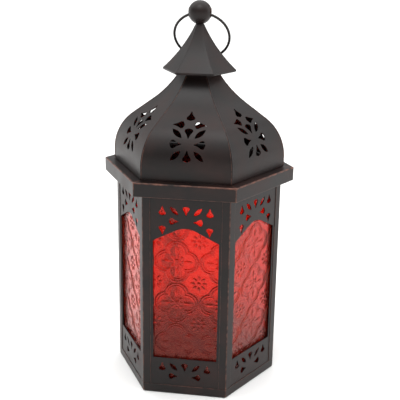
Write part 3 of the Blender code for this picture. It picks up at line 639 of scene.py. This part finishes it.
def patterned_pane(name, degrees, half_width, bottom, top, outer_out, shift):
    """One pane as a grid: its outer side carries the relief behind the window, its inner side is
    smooth, and the two meet round the edge. The pattern is shifted from pane to pane."""
    patterned = WINDOW_HALF_WIDTH + RELIEF_MARGIN
    across = spaced(-half_width, half_width, -patterned, patterned)
    up = spaced(bottom, top, WINDOW_SILL - RELIEF_MARGIN, WINDOW_PEAK + RELIEF_MARGIN)
    x, z = np.meshgrid(across, up)
    height = relief(x - LATTICE_ACROSS - shift[0], z - LATTICE_UP - shift[1])
    inside = (np.abs(x) < across[-2] - 1e-6) & (z > up[1] + 1e-6) & (z < up[-2] - 1e-6)
    outer = on_face(degrees, x, z, outer_out - RELIEF * (1 - height * inside))
    inner = on_face(degrees, x, z, np.full_like(x, outer_out - GLASS_THICKNESS))

    rows, columns = x.shape
    i, j = np.arange(rows - 1)[:, None], np.arange(columns - 1)[None, :]
    first = i * columns + j
    front = np.stack([first, first + 1, first + columns + 1, first + columns], axis=-1).reshape(-1, 4)
    # The inner side needs no fine grid: it is one face through the pane's rim, as are the ends.
    rim = np.concatenate(
        [
            np.arange(columns),
            np.arange(2 * columns - 1, rows * columns, columns),
            np.arange(rows * columns - 2, (rows - 1) * columns - 1, -1),
            np.arange((rows - 2) * columns, 0, -columns),
        ]
    )
    back = rows * columns + np.arange(len(rim))
    after = np.roll(np.arange(len(rim)), -1)
    sides = np.stack([rim, rim[after], back[after], back], axis=-1)
    data = bpy.data.meshes.new(name)
    places = np.concatenate([outer.reshape(-1, 3), inner.reshape(-1, 3)[rim]])
    data.from_pydata(places, [], [*front.tolist(), *sides.tolist(), back.tolist()])
    # painted shade: the red is darkened where the relief slopes, beside its raised lines
    rise = np.hypot(*np.gradient(height * inside))
    deeper = np.clip(PAINTED_SHADE_PER_RISE * rise, 0, 1).ravel()
    store(data, "deeper", np.concatenate([deeper, np.zeros(len(rim))]))
    finish_mesh(data, red_glass, sharp_above=50)
    return new_piece(name, data)


for number, (face, degrees) in enumerate(FACES.items()):
    if face == "rear":
        continue
    low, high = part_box(f"glass_{face}")
    half_width = room_beside_post(GLASS_DEPTH + GLASS_THICKNESS)
    shift = number * PATTERN_SHIFT
    pane = patterned_pane(f"pane_{face}_pressed", degrees, half_width, low.z, high.z, -GLASS_DEPTH, shift)
    stand_for(pane, "lantern", "red_glass", f"glass_{face}")


# ----------------------------------------------------------
# Candle cup. A shallow round cup, drawn from thin sheet, with its lip turned out to stiffen it. It
# is soldered to the middle of the floor.

CUP_SHEET = 0.0006
CUP_LIP = 0.0012
CUP_FOOT_ROUNDING = 0.0014
TURNED_STEPS = 96


def turned(name, section, rub, material, steps=TURNED_STEPS, place=None):
    """A section of (radius, height) points turned about Z, closed at the axis."""
    angle = np.linspace(0, 2 * math.pi, steps, endpoint=False)[None, :]
    radius, height = section[:, 0, None], section[:, 1, None]
    grid = np.stack(np.broadcast_arrays(radius * np.cos(angle), radius * np.sin(angle), height), axis=-1)
    if place:
        grid = place(grid)
    return skin(name, grid, rub[:, None], material)


low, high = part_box("candle_cup")
cup_radius = high.x - CUP_LIP
section, rub = rounded(
    [
        (0, low.z + CUP_SHEET),
        (cup_radius - CUP_SHEET, low.z + CUP_SHEET),
        (cup_radius - CUP_SHEET, high.z),
        (high.x, high.z),
        (high.x, high.z - CUP_SHEET),
        (cup_radius, high.z - CUP_SHEET),
        (cup_radius, low.z),
        (0, low.z),
    ],
    [0, CUP_FOOT_ROUNDING - CUP_SHEET, 0.0005, 0.0003, 0.0003, 0.0002, CUP_FOOT_ROUNDING, 0],
    [0, 0, 0.4, 0.6, 0.4, 0, 0.2, 0],
    closed=False,
)
stand_for(turned("candle_cup_drawn", section, rub, painted_iron), "lantern", "painted_iron", "candle_cup")


# ----------------------------------------------------------
# Door. Its plate laps over the posts' legs and is pierced like the side panels. Hems folded along
# its upper and lower edges hold its own pane, and it swings on two butt hinges with headed pins.

HEM_LIP = 0.0042
HEM_ROUNDING = 0.0009
DOOR_PATTERN_SHIFT = (0.0052, -0.0104)
DOOR = FACES["rear"]
plate_low, plate_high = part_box("door_panel")
door_out = plate_high.y - BODY_FLAT  # outer side of the plate, from the posts' plane
hem_out = plate_low.y - BODY_FLAT

outer_loop = rectangle(plate_high.x, plate_low.z, plate_high.z)
data, points = cut_sheet("door_plate_pierced", [outer_loop, *panel_holes()])
across, up, out = points.T
places = on_face(DOOR, across, up, out + door_out - SHEET / 2)
plate = sheet_piece("door_plate_pierced", data, places, 0.6 * edge_rub(points))
stand_for(plate, "door", "painted_iron", "door_panel")

pane_low, pane_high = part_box("door_glass")
hem_half = pane_high.x
for side, edge, inwards in (("lower", plate_low.z, 1), ("upper", plate_high.z, -1)):
    # Seen along the hem: out from the posts' plane, and up. It starts inside the plate's sheet.
    start = door_out - SHEET
    outline, rub = rounded(
        [
            (start, edge),
            (hem_out, edge),
            (hem_out, edge + inwards * HEM_LIP),
            (hem_out + SHEET, edge + inwards * HEM_LIP),
            (hem_out + SHEET, edge + inwards * SHEET),
            (start, edge + inwards * SHEET),
        ],
        [0, HEM_ROUNDING, 0.0002, 0.0002, 0.0003, 0],
        [0, 0.4, 0.2, 0.2, 0, 0],
    )

    def along_the_door(grid):
        return on_face(DOOR, grid[..., 2], grid[..., 1], grid[..., 0])

    hem = prism(f"door_hem_{side}", outline, (-hem_half, hem_half), rub, place=along_the_door)
    stand_for(hem, "door", "painted_iron")

pane_out = pane_high.y - BODY_FLAT
pane = patterned_pane(
    "pane_door_pressed", DOOR, pane_high.x, pane_low.z, pane_high.z, pane_out, DOOR_PATTERN_SHIFT
)
stand_for(pane, "door", "red_glass", "door_glass")

# Hinges: each leaf is a strip rolled round the pin at one end and soldered flat at the other.
LEAF_SHEET = 0.0006
LEAF_HEIGHT = 0.008
DOOR_LEAF_REACH = 0.0085
FRAME_LEAF_REACH = 0.0064
KNUCKLE_RADIUS = 0.0013
PIN_BORE = 0.0006
hinge_axis = np.array(next(j for j in frame["joints"] if j["name"] == "door_hinge")["pos_m"][:2])


def leaf_loops(low, high, reach):
    """A hinge leaf seen from above: an eye round the origin, and a strip along +X between these two
    distances from the X axis."""
    start = math.asin(high / KNUCKLE_RADIUS)
    stop = 2 * math.pi + math.asin(max(low / KNUCKLE_RADIUS, -1))
    angle = np.linspace(start, stop, 40)
    eye = KNUCKLE_RADIUS * np.stack([np.cos(angle), np.sin(angle)], axis=1)
    round_bore = np.linspace(0, 2 * math.pi, 32, endpoint=False)
    bore = PIN_BORE * np.stack([np.cos(round_bore), np.sin(round_bore)], axis=1)
    return [np.concatenate([eye, [(reach, low), (reach, high)]]), bore]


wall = KNUCKLE_RADIUS + GAP
door_leaf = wall - (GAP + SHEET) - GAP - LEAF_SHEET
for side in ("lower", "upper"):
    for kind, body, low, reach, degrees in (
        ("frame", "lantern", GAP - wall, FRAME_LEAF_REACH, FACES["rear_right"] - 90),
        ("door", "door", door_leaf, DOOR_LEAF_REACH, DOOR + 90),
    ):
        name = f"hinge_{kind}_leaf_{side}"
        box_low, box_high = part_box(name)
        loops = leaf_loops(low, low + LEAF_SHEET, reach)
        data, points = cut_sheet(f"{name}_rolled", loops, LEAF_HEIGHT, 0.00012, steps=1)
        flat = turned_about_z(points[:, :2], degrees) + hinge_axis
        places = np.column_stack([flat, points[:, 2] + (box_low.z + box_high.z) / 2])
        worn = 0.5 * edge_rub(points, LEAF_HEIGHT)
        worn[np.abs(points[:, 2]) < LEAF_HEIGHT / 2 - 0.0002] = 0
        piece = sheet_piece(f"{name}_rolled", data, places, worn)
        stand_for(piece, body, "painted_iron", name)

    low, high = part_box(f"hinge_pin_{side}")
    radius, shank, head = (high.x - low.x) / 2, 0.0005, 0.0006
    section, rub = rounded(
        [
            (0, high.z),
            (radius, high.z),
            (radius, high.z - head),
            (shank, high.z - head),
            (shank, low.z + head),
            (radius, low.z + head),
            (radius, low.z),
            (0, low.z),
        ],
        [0, 0.0004, 0.00005, 0.00005, 0.00005, 0.00005, 0.0004, 0],
        [0, 0.7, 0, 0, 0, 0, 0.7, 0],
        closed=False,
        fade=0.0001,
    )

    def at_the_hinge(grid):
        return grid + (*hinge_axis, 0)

    pin = turned(f"hinge_pin_{side}_headed", section, rub, painted_iron, 32, at_the_hinge)
    stand_for(pin, "lantern", "painted_iron", f"hinge_pin_{side}")

# Knob: turned from rod, with a ball head on a short neck, riveted through the door's free edge.
low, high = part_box("door_knob")
knob_radius, knob_neck, knob_foot = 0.002, 0.0009, 0.0016
knob_middle = np.array([(low.x + high.x) / 2, (low.z + high.z) / 2])
knob_start, knob_end = low.y - BODY_FLAT, high.y - BODY_FLAT
angle = np.linspace(math.pi / 2, math.radians(-58), 20)
head = np.stack([knob_radius * np.cos(angle), knob_end - knob_radius + knob_radius * np.sin(angle)], axis=1)
head[0, 0] = 0
section = np.concatenate(
    [
        head,
        [(knob_neck, head[-1, 1] - 0.0002), (knob_neck, knob_start + 0.0011)],
        [(knob_foot, knob_start + 0.0005), (knob_foot, knob_start), (0, knob_start)],
    ]
)


def on_the_door(middle):
    """Puts a turned piece on the rear face, its axis outwards."""

    def place(grid):
        across, out, up = middle[0] - grid[..., 0], BODY_FLAT + grid[..., 2], middle[1] + grid[..., 1]
        return np.stack([across, out, up], axis=-1)

    return place


worn = np.where(section[:, 1] > knob_end - knob_radius, 0.6, 0)
knob = turned("door_knob_turned", section, worn, painted_iron, 48, on_the_door(knob_middle))
stand_for(knob, "door", "painted_iron", "door_knob")


# ----------------------------------------------------------
# Latch. A small turn button cut from sheet hangs on a dome-headed rivet in the post, and swings
# over the door's edge to hold it shut.

BUTTON_BORE = 0.001
low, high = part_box("latch_button")
button_half = (high.x - low.x) / 2
pivot = np.array([(high.x + low.x) / 2, high.z - button_half])
button_length = pivot[1] - (low.z + button_half)
angle = np.linspace(0, math.pi, 17)
upper_end = button_half * np.stack([np.cos(angle), np.sin(angle)], axis=1)
lower_end = -upper_end - (0, button_length)
bore = BUTTON_BORE * np.stack([np.cos(2 * angle[:-1]), np.sin(2 * angle[:-1])], axis=1)
loops = [np.concatenate([upper_end, lower_end]), bore]
data, points = cut_sheet("latch_button_cut", loops, SHEET, PUNCHED_EDGE)
button_out = (low.y + high.y) / 2 - BODY_FLAT
places = on_face(DOOR, points[:, 0] - pivot[0], points[:, 1] + pivot[1], points[:, 2] + button_out)
button = sheet_piece("latch_button_cut", data, places, 0.9 * edge_rub(points))
stand_for(button, "latch", "painted_iron", "latch_button")

low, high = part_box("latch_rivet")
rivet_low, rivet_high = low.y - BODY_FLAT, high.y - BODY_FLAT
rivet_radius, rivet_shank, rivet_head = 0.0014, 0.0009, 0.0006
angle = np.linspace(math.pi / 2, 0, 9)
dome = np.stack([rivet_radius * np.cos(angle), rivet_high - rivet_head * (1 - np.sin(angle))], axis=1)
dome[0, 0] = 0
under = rivet_high - rivet_head
section = np.concatenate([dome, [(rivet_shank, under), (rivet_shank, rivet_low), (0, rivet_low)]])
worn = np.where(section[:, 1] > under, 0.7, 0)
rivet = turned("latch_rivet_domed", section, worn, painted_iron, 32, on_the_door(pivot))
stand_for(rivet, "lantern", "painted_iron", "latch_rivet")


# ----------------------------------------------------------
# Eave. A shallow tray turned upside down: its skirt hangs clear of the walls, and the dome stands
# on its top. Its upper fold and its lower edge are rubbed.

EAVE_FOLD_ROUNDING = 0.0007
EAVE_HOLE_RADIUS = 0.0565  # at its corners, open to the dome
EAVE_HOLE = EAVE_HOLE_RADIUS * math.cos(HALF_SIDE)
low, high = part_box("eave")
eave_flat = high.x * math.cos(HALF_SIDE)
eave_top = high.z
section, rub = rounded(
    [
        (EAVE_HOLE, eave_top),
        (eave_flat, eave_top),
        (eave_flat, low.z),
        (eave_flat - SHEET, low.z),
        (eave_flat - SHEET, eave_top - SHEET),
        (EAVE_HOLE, eave_top - SHEET),
    ],
    [0.0002, EAVE_FOLD_ROUNDING, 0.0003, 0.0003, 0.0004, 0.0002],
    [0, 0.7, 0.7, 0.5, 0, 0],
)
grid, rub = six_sided(section, rub)
eave = skin("eave_folded", grid, rub, painted_iron, wrap_rows=True)
stand_for(eave, "lantern", "painted_iron", "eave")


# ----------------------------------------------------------
# Dome. Six gores of pierced sheet, each rolled one way only over a former, meet at the corners.
# A bead of solder, dressed smooth and rubbed bright brown, closes every seam.

DOME_STEP = 0.0013
DOME_FOOT_HEIGHT = 0.0077
SHOULDER_RADIUS = 0.0366
SHOULDER_TURN = math.radians(54)
THROAT_RADIUS = 0.0825
THROAT_TURN = math.radians(18)
THROAT_END_RADIUS = 0.0177
NECK_RADIUS = 0.016
NECK_RISE = 0.0026
NECK_HEIGHT = 0.0058
DOME_PETAL_SCALE = 1.2  # against the side panels' holes
DOME_PETAL_PITCH = 0.0085
DOME_FLOWER_UP = 0.0278
DOME_TOP_TULIP_RISE = 2.9  # in petal pitches, as the next two are
DOME_OUTER_TULIP_OUT = 0.98
DOME_OUTER_TULIP_RISE = 1.9
BEND_STEP = 0.0013  # between the lines that the gore is bent along
BEAD_RADIUS = 0.00058
BEAD_SINK = 0.00032  # bead's middle inside the seam's corner
GORE_INSET = 0.0002  # flat gore's edge, from the seam
MITRE_INSET = 0.00018  # bent gore's edge, from the seam


def arc(middle, radius, start, turn, count):
    angle = start + turn * np.linspace(0, 1, count)
    return np.stack([middle[0] + radius * np.cos(angle), middle[1] + radius * np.sin(angle)], axis=1)


def dome_line():
    """(corner radius, height) up a seam: an upright foot, a round shoulder, a straight slope, the
    hollow throat and the upright neck inside the cap."""
    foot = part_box("gore_front")[0].z
    base = BODY_RADIUS + DOME_STEP
    spring = foot + DOME_FOOT_HEIGHT
    shoulder = arc((base - SHOULDER_RADIUS, spring), SHOULDER_RADIUS, 0, SHOULDER_TURN, 40)
    slope = math.pi / 2 - SHOULDER_TURN
    throat_run = THROAT_RADIUS * (math.sin(slope + THROAT_TURN) - math.sin(slope))
    straight = (shoulder[-1, 0] - throat_run - THROAT_END_RADIUS) / math.cos(slope)
    bend = shoulder[-1] + straight * np.array([-math.cos(slope), math.sin(slope)])
    middle = bend + THROAT_RADIUS * np.array([math.sin(slope), math.cos(slope)])
    throat = arc(middle, THROAT_RADIUS, -math.pi / 2 - slope, -THROAT_TURN, 24)
    neck = throat[-1, 1] + NECK_RISE
    upright = [(NECK_RADIUS, neck), (NECK_RADIUS, neck + NECK_HEIGHT)]
    return np.concatenate([[(base, foot)], shoulder, throat, upright])


seam_line = dome_line()
face_line = seam_line * (math.cos(HALF_SIDE), 1)


def lengths_along(line):
    return np.concatenate([[0], np.cumsum(np.linalg.norm(np.diff(line, axis=0), axis=1))])


def read_along(line, lengths, distance):
    """The place this far along a line, and the outward direction there, smoothed over a bend step."""

    def at(where):
        return np.stack([np.interp(where, lengths, line[:, k]) for k in (0, 1)], axis=-1)

    ahead = at(distance + BEND_STEP / 2) - at(distance - BEND_STEP / 2)
    ahead /= np.linalg.norm(ahead, axis=-1, keepdims=True)
    return at(distance), np.stack([ahead[..., 1], -ahead[..., 0]], axis=-1)


def dome_holes():
    """A whole flower, two tulips that point outwards above it, and one at the top."""
    holes = [(tulip(), x, 0, 90 + 90 * x) for x in (-1, 1)]
    holes += [(tulip(), 0, 1, 270), (tulip(), 0, -1, 90), (tulip(), 0, DOME_TOP_TULIP_RISE, 90)]
    holes += [(leaf(), x, y, 45 * x * y) for x in (-1, 1) for y in (-1, 1)]
    for x in (-1, 1):
        holes.append((tulip(), x * DOME_OUTER_TULIP_OUT, DOME_OUTER_TULIP_RISE, 90 - 90 * x))
    p, middle = DOME_PETAL_PITCH, DOME_FLOWER_UP
    return [
        punched(DOME_PETAL_SCALE * shape, p * x, middle + p * y, pointing)
        for shape, x, y, pointing in holes
    ]


def bend_lines(data, levels):
    """Cuts a flat mesh across at these heights, so that it can be bent there."""
    bm = bmesh.new()
    bm.from_mesh(data)
    bmesh.ops.remove_doubles(bm, verts=bm.verts, dist=2e-7)
    for level in levels:
        everything = [*bm.verts, *bm.edges, *bm.faces]
        bmesh.ops.bisect_plane(bm, geom=everything, plane_co=(0, level, 0), plane_no=(0, 1, 0), dist=1e-6)
    bmesh.ops.triangulate(bm, faces=[f for f in bm.faces if len(f.verts) > 4])
    bm.to_mesh(data)
    bm.free()
    return places_of(data)


face_lengths = lengths_along(face_line)
levels = np.arange(0, face_lengths[-1], BEND_STEP)
half_width = np.interp(levels, face_lengths, face_line[:, 0]) * math.tan(HALF_SIDE) - GORE_INSET
top = np.array([[half_width[-1], face_lengths[-1]]])
right = np.concatenate([np.stack([half_width, levels], axis=1), top])
gore_outline = np.concatenate([right, right[::-1] * (-1, 1)])
flat_gore, _ = cut_sheet("gore", [gore_outline, *dome_holes()])
points = bend_lines(flat_gore, levels[1:])
worn = 0.1 * edge_rub(points)

# Bending: the height in the pattern becomes a length along the dome's line, and the place in the
# sheet's thickness is laid off square to it. Both edges are mitred by holding them to the sector.
place, outwards = read_along(face_line, face_lengths, points[:, 1])
bent = place + outwards * (points[:, 2] - SHEET / 2)[:, None]
mitre = bent[:, 0] * math.tan(HALF_SIDE) - MITRE_INSET
across = np.clip(points[:, 0], -mitre, mitre)
for face, degrees in FACES.items():
    places = on_face(degrees, across, bent[:, 1], bent[:, 0] - BODY_FLAT)
    gore = sheet_piece(f"gore_{face}_pierced", flat_gore.copy(), places, worn, sharp_above=50)
    stand_for(gore, "lantern", "painted_iron", f"gore_{face}")

seam_lengths = lengths_along(seam_line)
distance = np.arange(0.0004, seam_lengths[-1] - 0.004, 0.001)
place, outwards = read_along(seam_line, seam_lengths, distance)
around = np.linspace(0, 2 * math.pi, 12, endpoint=False)
middle = place - outwards * BEAD_SINK
radial = middle[:, 0, None] + BEAD_RADIUS * outwards[:, 0, None] * np.cos(around)
upwards = middle[:, 1, None] + BEAD_RADIUS * outwards[:, 1, None] * np.cos(around)
sideways = np.broadcast_to(BEAD_RADIUS * np.sin(around), radial.shape)
bead_rub = np.broadcast_to(0.85 * np.sin(around) ** 2, radial.shape)
for corner, degrees in CORNERS.items():
    flat = turned_about_z(np.stack([radial, sideways], axis=-1), degrees)
    grid = np.concatenate([flat, upwards[..., None]], axis=-1)
    bead = skin(f"seam_{corner}_solder", grid, bead_rub, painted_iron, caps=True)
    stand_for(bead, "lantern", "painted_iron")


# ----------------------------------------------------------
# Crown plate, stud, nut and spacer. A plate closes the neck, and a blackened steel stud through it
# holds the cap and the ball down: they are hidden inside, and keep the shapes they are made in.

STEEL_MARK = 0.0012  # width of the marks along drawn wire


def make_blackened_steel():
    """Drawn steel, oil-blackened: dark and a little shiny, with fine marks along the wire."""
    made, tree, shader, place = start_material("steel_wire_oil_blackened")
    marks = node(tree, "TexNoise", {"Vector": place, "Scale": 1 / STEEL_MARK, "Detail": 4.0})
    colour = node(
        tree,
        "Mix",
        {0: marks.outputs["Fac"], 6: linear("#151211"), 7: linear("#2d2826")},
        data_type="RGBA",
    )
    gloss = node(tree, "MapRange", {"Value": marks.outputs["Fac"], "To Min": 0.28, "To Max": 0.5})
    bump = node(tree, "Bump", {"Height": marks.outputs["Fac"], "Strength": 0.2, "Distance": 0.0001})
    looks = {
        "Metallic": 0.2,
        "Specular IOR Level": 0.35,
        "Base Color": colour.outputs[2],
        "Roughness": gloss.outputs["Result"],
        "Normal": bump.outputs["Normal"],
    }
    plug(shader, looks)
    return made


blackened_steel = make_blackened_steel()
for name, material in (
    ("crown_plate", painted_iron),
    ("finial_stud", blackened_steel),
    ("finial_nut", blackened_steel),
    ("finial_spacer", blackened_steel),
):
    hidden = frame["nodes"][name]
    hidden.data.materials.clear()
    hidden.data.materials.append(material)


# ----------------------------------------------------------
# Cap. A small six-sided roof folded from sheet, hollow in its slope, with its rim rolled inwards.
# Its folds and its rim are rubbed.

CAP_RIM_RADIUS = 0.0281
CAP_RIM_SLOPE = math.radians(42)
CAP_TOP_RADIUS = 0.0038
CAP_TOP_SLOPE = math.radians(64)
CAP_ROLL = 0.0012
CAP_ROLL_TURN = math.radians(125)
CAP_HOLE = 0.00205
CAP_FOLD_ROUNDING = 0.0007
CAP_PEAK = 0.0009  # how far the slope runs on above the stud's hole, to nest the ball
cap_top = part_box("cap")[1].z


def cap_line():
    """(corner radius, height) down a fold of the cap, from the stud's hole to the rolled rim."""
    spread = math.sin(CAP_TOP_SLOPE) - math.sin(CAP_RIM_SLOPE)
    hollow = (CAP_RIM_RADIUS - CAP_TOP_RADIUS) / spread
    start = -math.pi / 2 - CAP_TOP_SLOPE
    slope = arc((0, 0), hollow, start, CAP_TOP_SLOPE - CAP_RIM_SLOPE, 24)
    slope += np.array([CAP_TOP_RADIUS, cap_top]) - slope[0]
    peak = slope[0] + CAP_PEAK * np.array([-math.cos(CAP_TOP_SLOPE), math.sin(CAP_TOP_SLOPE)])
    normal = math.pi / 2 - CAP_RIM_SLOPE
    roll_middle = slope[-1] - CAP_ROLL * np.array([math.cos(normal), math.sin(normal)])
    roll = arc(roll_middle, CAP_ROLL, normal, -CAP_ROLL_TURN, 12)
    hole = [(CAP_HOLE / math.cos(HALF_SIDE), cap_top), (peak[0] - SHEET, cap_top), peak]
    return np.concatenate([hole, slope, roll[1:]])


def both_sides(line, thickness):
    """A line's closed outline: the line, then the line moved in by the sheet's thickness, turned
    back. Each point moves square to the line there."""
    ahead = np.gradient(line, axis=0)
    ahead /= np.linalg.norm(ahead, axis=1, keepdims=True)
    inside = line + thickness * np.stack([ahead[:, 1], -ahead[:, 0]], axis=1)
    return np.concatenate([line, inside[::-1]])


outer_line = cap_line() * (math.cos(HALF_SIDE), 1)
section = both_sides(outer_line, SHEET)
rub = np.zeros(len(section))
rolled_rim = slice(len(outer_line) - 9, len(outer_line) - 2)
rub[rolled_rim] = 0.35
grid, rub = six_sided(section, rub, rounding=CAP_FOLD_ROUNDING, ridge_rub=0.38)
cap = skin("cap_folded", grid, rub, painted_iron, wrap_rows=True)
stand_for(cap, "lantern", "painted_iron", "cap")


# ----------------------------------------------------------
# Ball. Turned from solid, with a bore across it for the ring and soft edges where the bore comes
# out. It screws down on the stud.

BORE_EDGE_ROUNDING = 0.0006
low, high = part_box("finial_ball")
ball_radius = (high.z - low.z) / 2
ball_middle = np.array([0, 0, (low.z + high.z) / 2])
bore_radius = math.sqrt(ball_radius**2 - high.x**2)
start = math.asin((bore_radius + BORE_EDGE_ROUNDING) / ball_radius)
outside = arc((0, 0), ball_radius, start, math.pi - 2 * start, 49)
mouth = high.x - BORE_EDGE_ROUNDING / 2
edge_middle = (mouth - BORE_EDGE_ROUNDING / 2, bore_radius + BORE_EDGE_ROUNDING)
edge_right = arc(edge_middle, BORE_EDGE_ROUNDING, -math.pi / 2, math.pi / 2, 6)
edge_left = edge_right[::-1] * (-1, 1)
line = np.concatenate([edge_right, outside, edge_left])
worn = np.repeat([0.7, 0.12, 0.7], [len(edge_right), len(outside), len(edge_left)])
angle = np.linspace(0, 2 * math.pi, TURNED_STEPS, endpoint=False)[None, :]
grid = np.stack(
    np.broadcast_arrays(line[:, 0, None], line[:, 1, None] * np.cos(angle), line[:, 1, None] * np.sin(angle)),
    axis=-1,
)
ball = skin("finial_ball_turned", grid + ball_middle, worn[:, None], painted_iron, wrap_rows=True)
stand_for(ball, "lantern", "painted_iron", "finial_ball")


# ----------------------------------------------------------
# Ring. Blackened steel wire bent to a circle, threaded through the ball. The lantern hangs from it,
# and at rest it lies back against the cap.

RING_WIRE = 0.001
low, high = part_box("ring")
ring_radius = (high.x - low.x) / 2 - RING_WIRE
ring_middle = np.array([0, (low.y + high.y) / 2, (low.z + high.z) / 2])
swing_axis = np.array(next(j for j in frame["joints"] if j["name"] == "ring_swing")["pos_m"])
fall = ring_middle - swing_axis
fall /= np.linalg.norm(fall)
around = np.linspace(0, 2 * math.pi, 160, endpoint=False)[:, None, None]
across_wire = np.linspace(0, 2 * math.pi, 16, endpoint=False)[None, :, None]
out_from_middle = np.cos(around) * np.array([1, 0, 0]) + np.sin(around) * fall
square_to_ring = np.cross([1, 0, 0], fall)
grid = ring_middle + out_from_middle * (ring_radius + RING_WIRE * np.cos(across_wire))
grid = grid + RING_WIRE * np.sin(across_wire) * square_to_ring
ring = skin("ring_bent_wire", grid, 0.0, blackened_steel, wrap_rows=True)
stand_for(ring, "ring", "dark_steel", "ring")


# ----------------------------------------------------------
# Stage. A plain pale floor, soft white light that is strongest overhead, a lamp on each side and one
# above, and a camera a little to the right of the front and above it.

FLOOR_HALF = 8.0
LAMP_POWER = 3  # watts
# The sky's brightness, from one upward share of the direction looked in to another.
OVERHEAD_GLOW = (0.25, 0.9, 0.25, 2.2)
HORIZON_GLOW = (0.12, 0.24, 1.05, 0.0)
LENS = 73.9
SENSOR = 36.0
CAMERA_PLACE = Vector((0.0923, -0.6202, 0.3504))
CAMERA_AIM = Vector((0, 0, 0.1441))
CAMERA_ROLL = math.radians(0.8)
CAMERA_SHIFT = 0.0063


def make_floor_paint():
    """Matt white studio paper, with the faintest unevenness."""
    made, tree, shader, place = start_material("studio_paper_matt_white")
    mottle = node(tree, "TexNoise", {"Vector": place, "Scale": 3.0})
    colour = node(
        tree,
        "Mix",
        {0: mottle.outputs["Fac"], 6: linear("#ededec"), 7: linear("#f2f2f1")},
        data_type="RGBA",
    )
    looks = {"Roughness": 0.9, "Specular IOR Level": 0.2, "Base Color": colour.outputs[2]}
    plug(shader, looks)
    return made


corners = FLOOR_HALF * np.array([(-1, -1, 0), (1, -1, 0), (1, 1, 0), (-1, 1, 0)], float)
data = bpy.data.meshes.new("floor")
data.from_pydata(corners, [], [(0, 1, 2, 3)])
data.materials.append(make_floor_paint())
new_piece("floor", data)

world = bpy.data.worlds.new("studio")
world.use_nodes = True
background = world.node_tree.nodes["Background"]
tree = world.node_tree
facing = node(tree, "SeparateXYZ", {0: node(tree, "TexCoord").outputs["Generated"]}).outputs["Z"]
glows = []
for start, stop, at_start, at_stop in (OVERHEAD_GLOW, HORIZON_GLOW):
    ramp = {"Value": facing, "From Min": start, "From Max": stop, "To Min": at_start, "To Max": at_stop}
    glows.append(node(tree, "MapRange", ramp, interpolation_type="SMOOTHSTEP").outputs["Result"])
brighter = node(tree, "Math", dict(enumerate(glows)), operation="MAXIMUM")
plug(background, {"Color": (1.0, 1.0, 1.0, 1.0), "Strength": brighter.outputs["Value"]})
bpy.context.scene.world = world


def lamp(name, place, aim, size):
    """A round lamp of this size, at a place and aimed at another."""
    light = bpy.data.lights.new(name, "AREA")
    light.shape = "DISK"
    light.size = size
    light.energy = LAMP_POWER
    made = new_piece(name, light)
    made.location = place
    made.rotation_euler = (Vector(aim) - Vector(place)).to_track_quat("-Z", "Y").to_euler()


lamp("lamp_left", (-1.3, 0.5, 0.9), (-0.2, 0.1, 0.1), 1.2)
lamp("lamp_right", (1.3, 0.4, 0.7), (0.2, 0.1, 0.1), 1.0)
lamp("lamp_top", (0.0, -0.5, 1.4), (0, 0, 0.2), 0.6)

camera = bpy.data.cameras.new("camera")
camera.lens = LENS
camera.sensor_width = SENSOR
camera.shift_x = CAMERA_SHIFT
camera.clip_start, camera.clip_end = 0.01, 60.0
viewer = new_piece("camera", camera)
ahead = (CAMERA_AIM - CAMERA_PLACE).normalized()
right = ahead.cross(Vector((0, 0, 1))).normalized()
above = right.cross(ahead)
rolled_right = right * math.cos(CAMERA_ROLL) + above * math.sin(CAMERA_ROLL)
rolled_above = above * math.cos(CAMERA_ROLL) - right * math.sin(CAMERA_ROLL)
turn = Matrix((rolled_right, rolled_above, -ahead)).transposed().to_4x4()
viewer.matrix_world = Matrix.Translation(CAMERA_PLACE) @ turn
bpy.context.scene.camera = viewer
bpy.context.scene.view_settings.view_transform = "Standard"
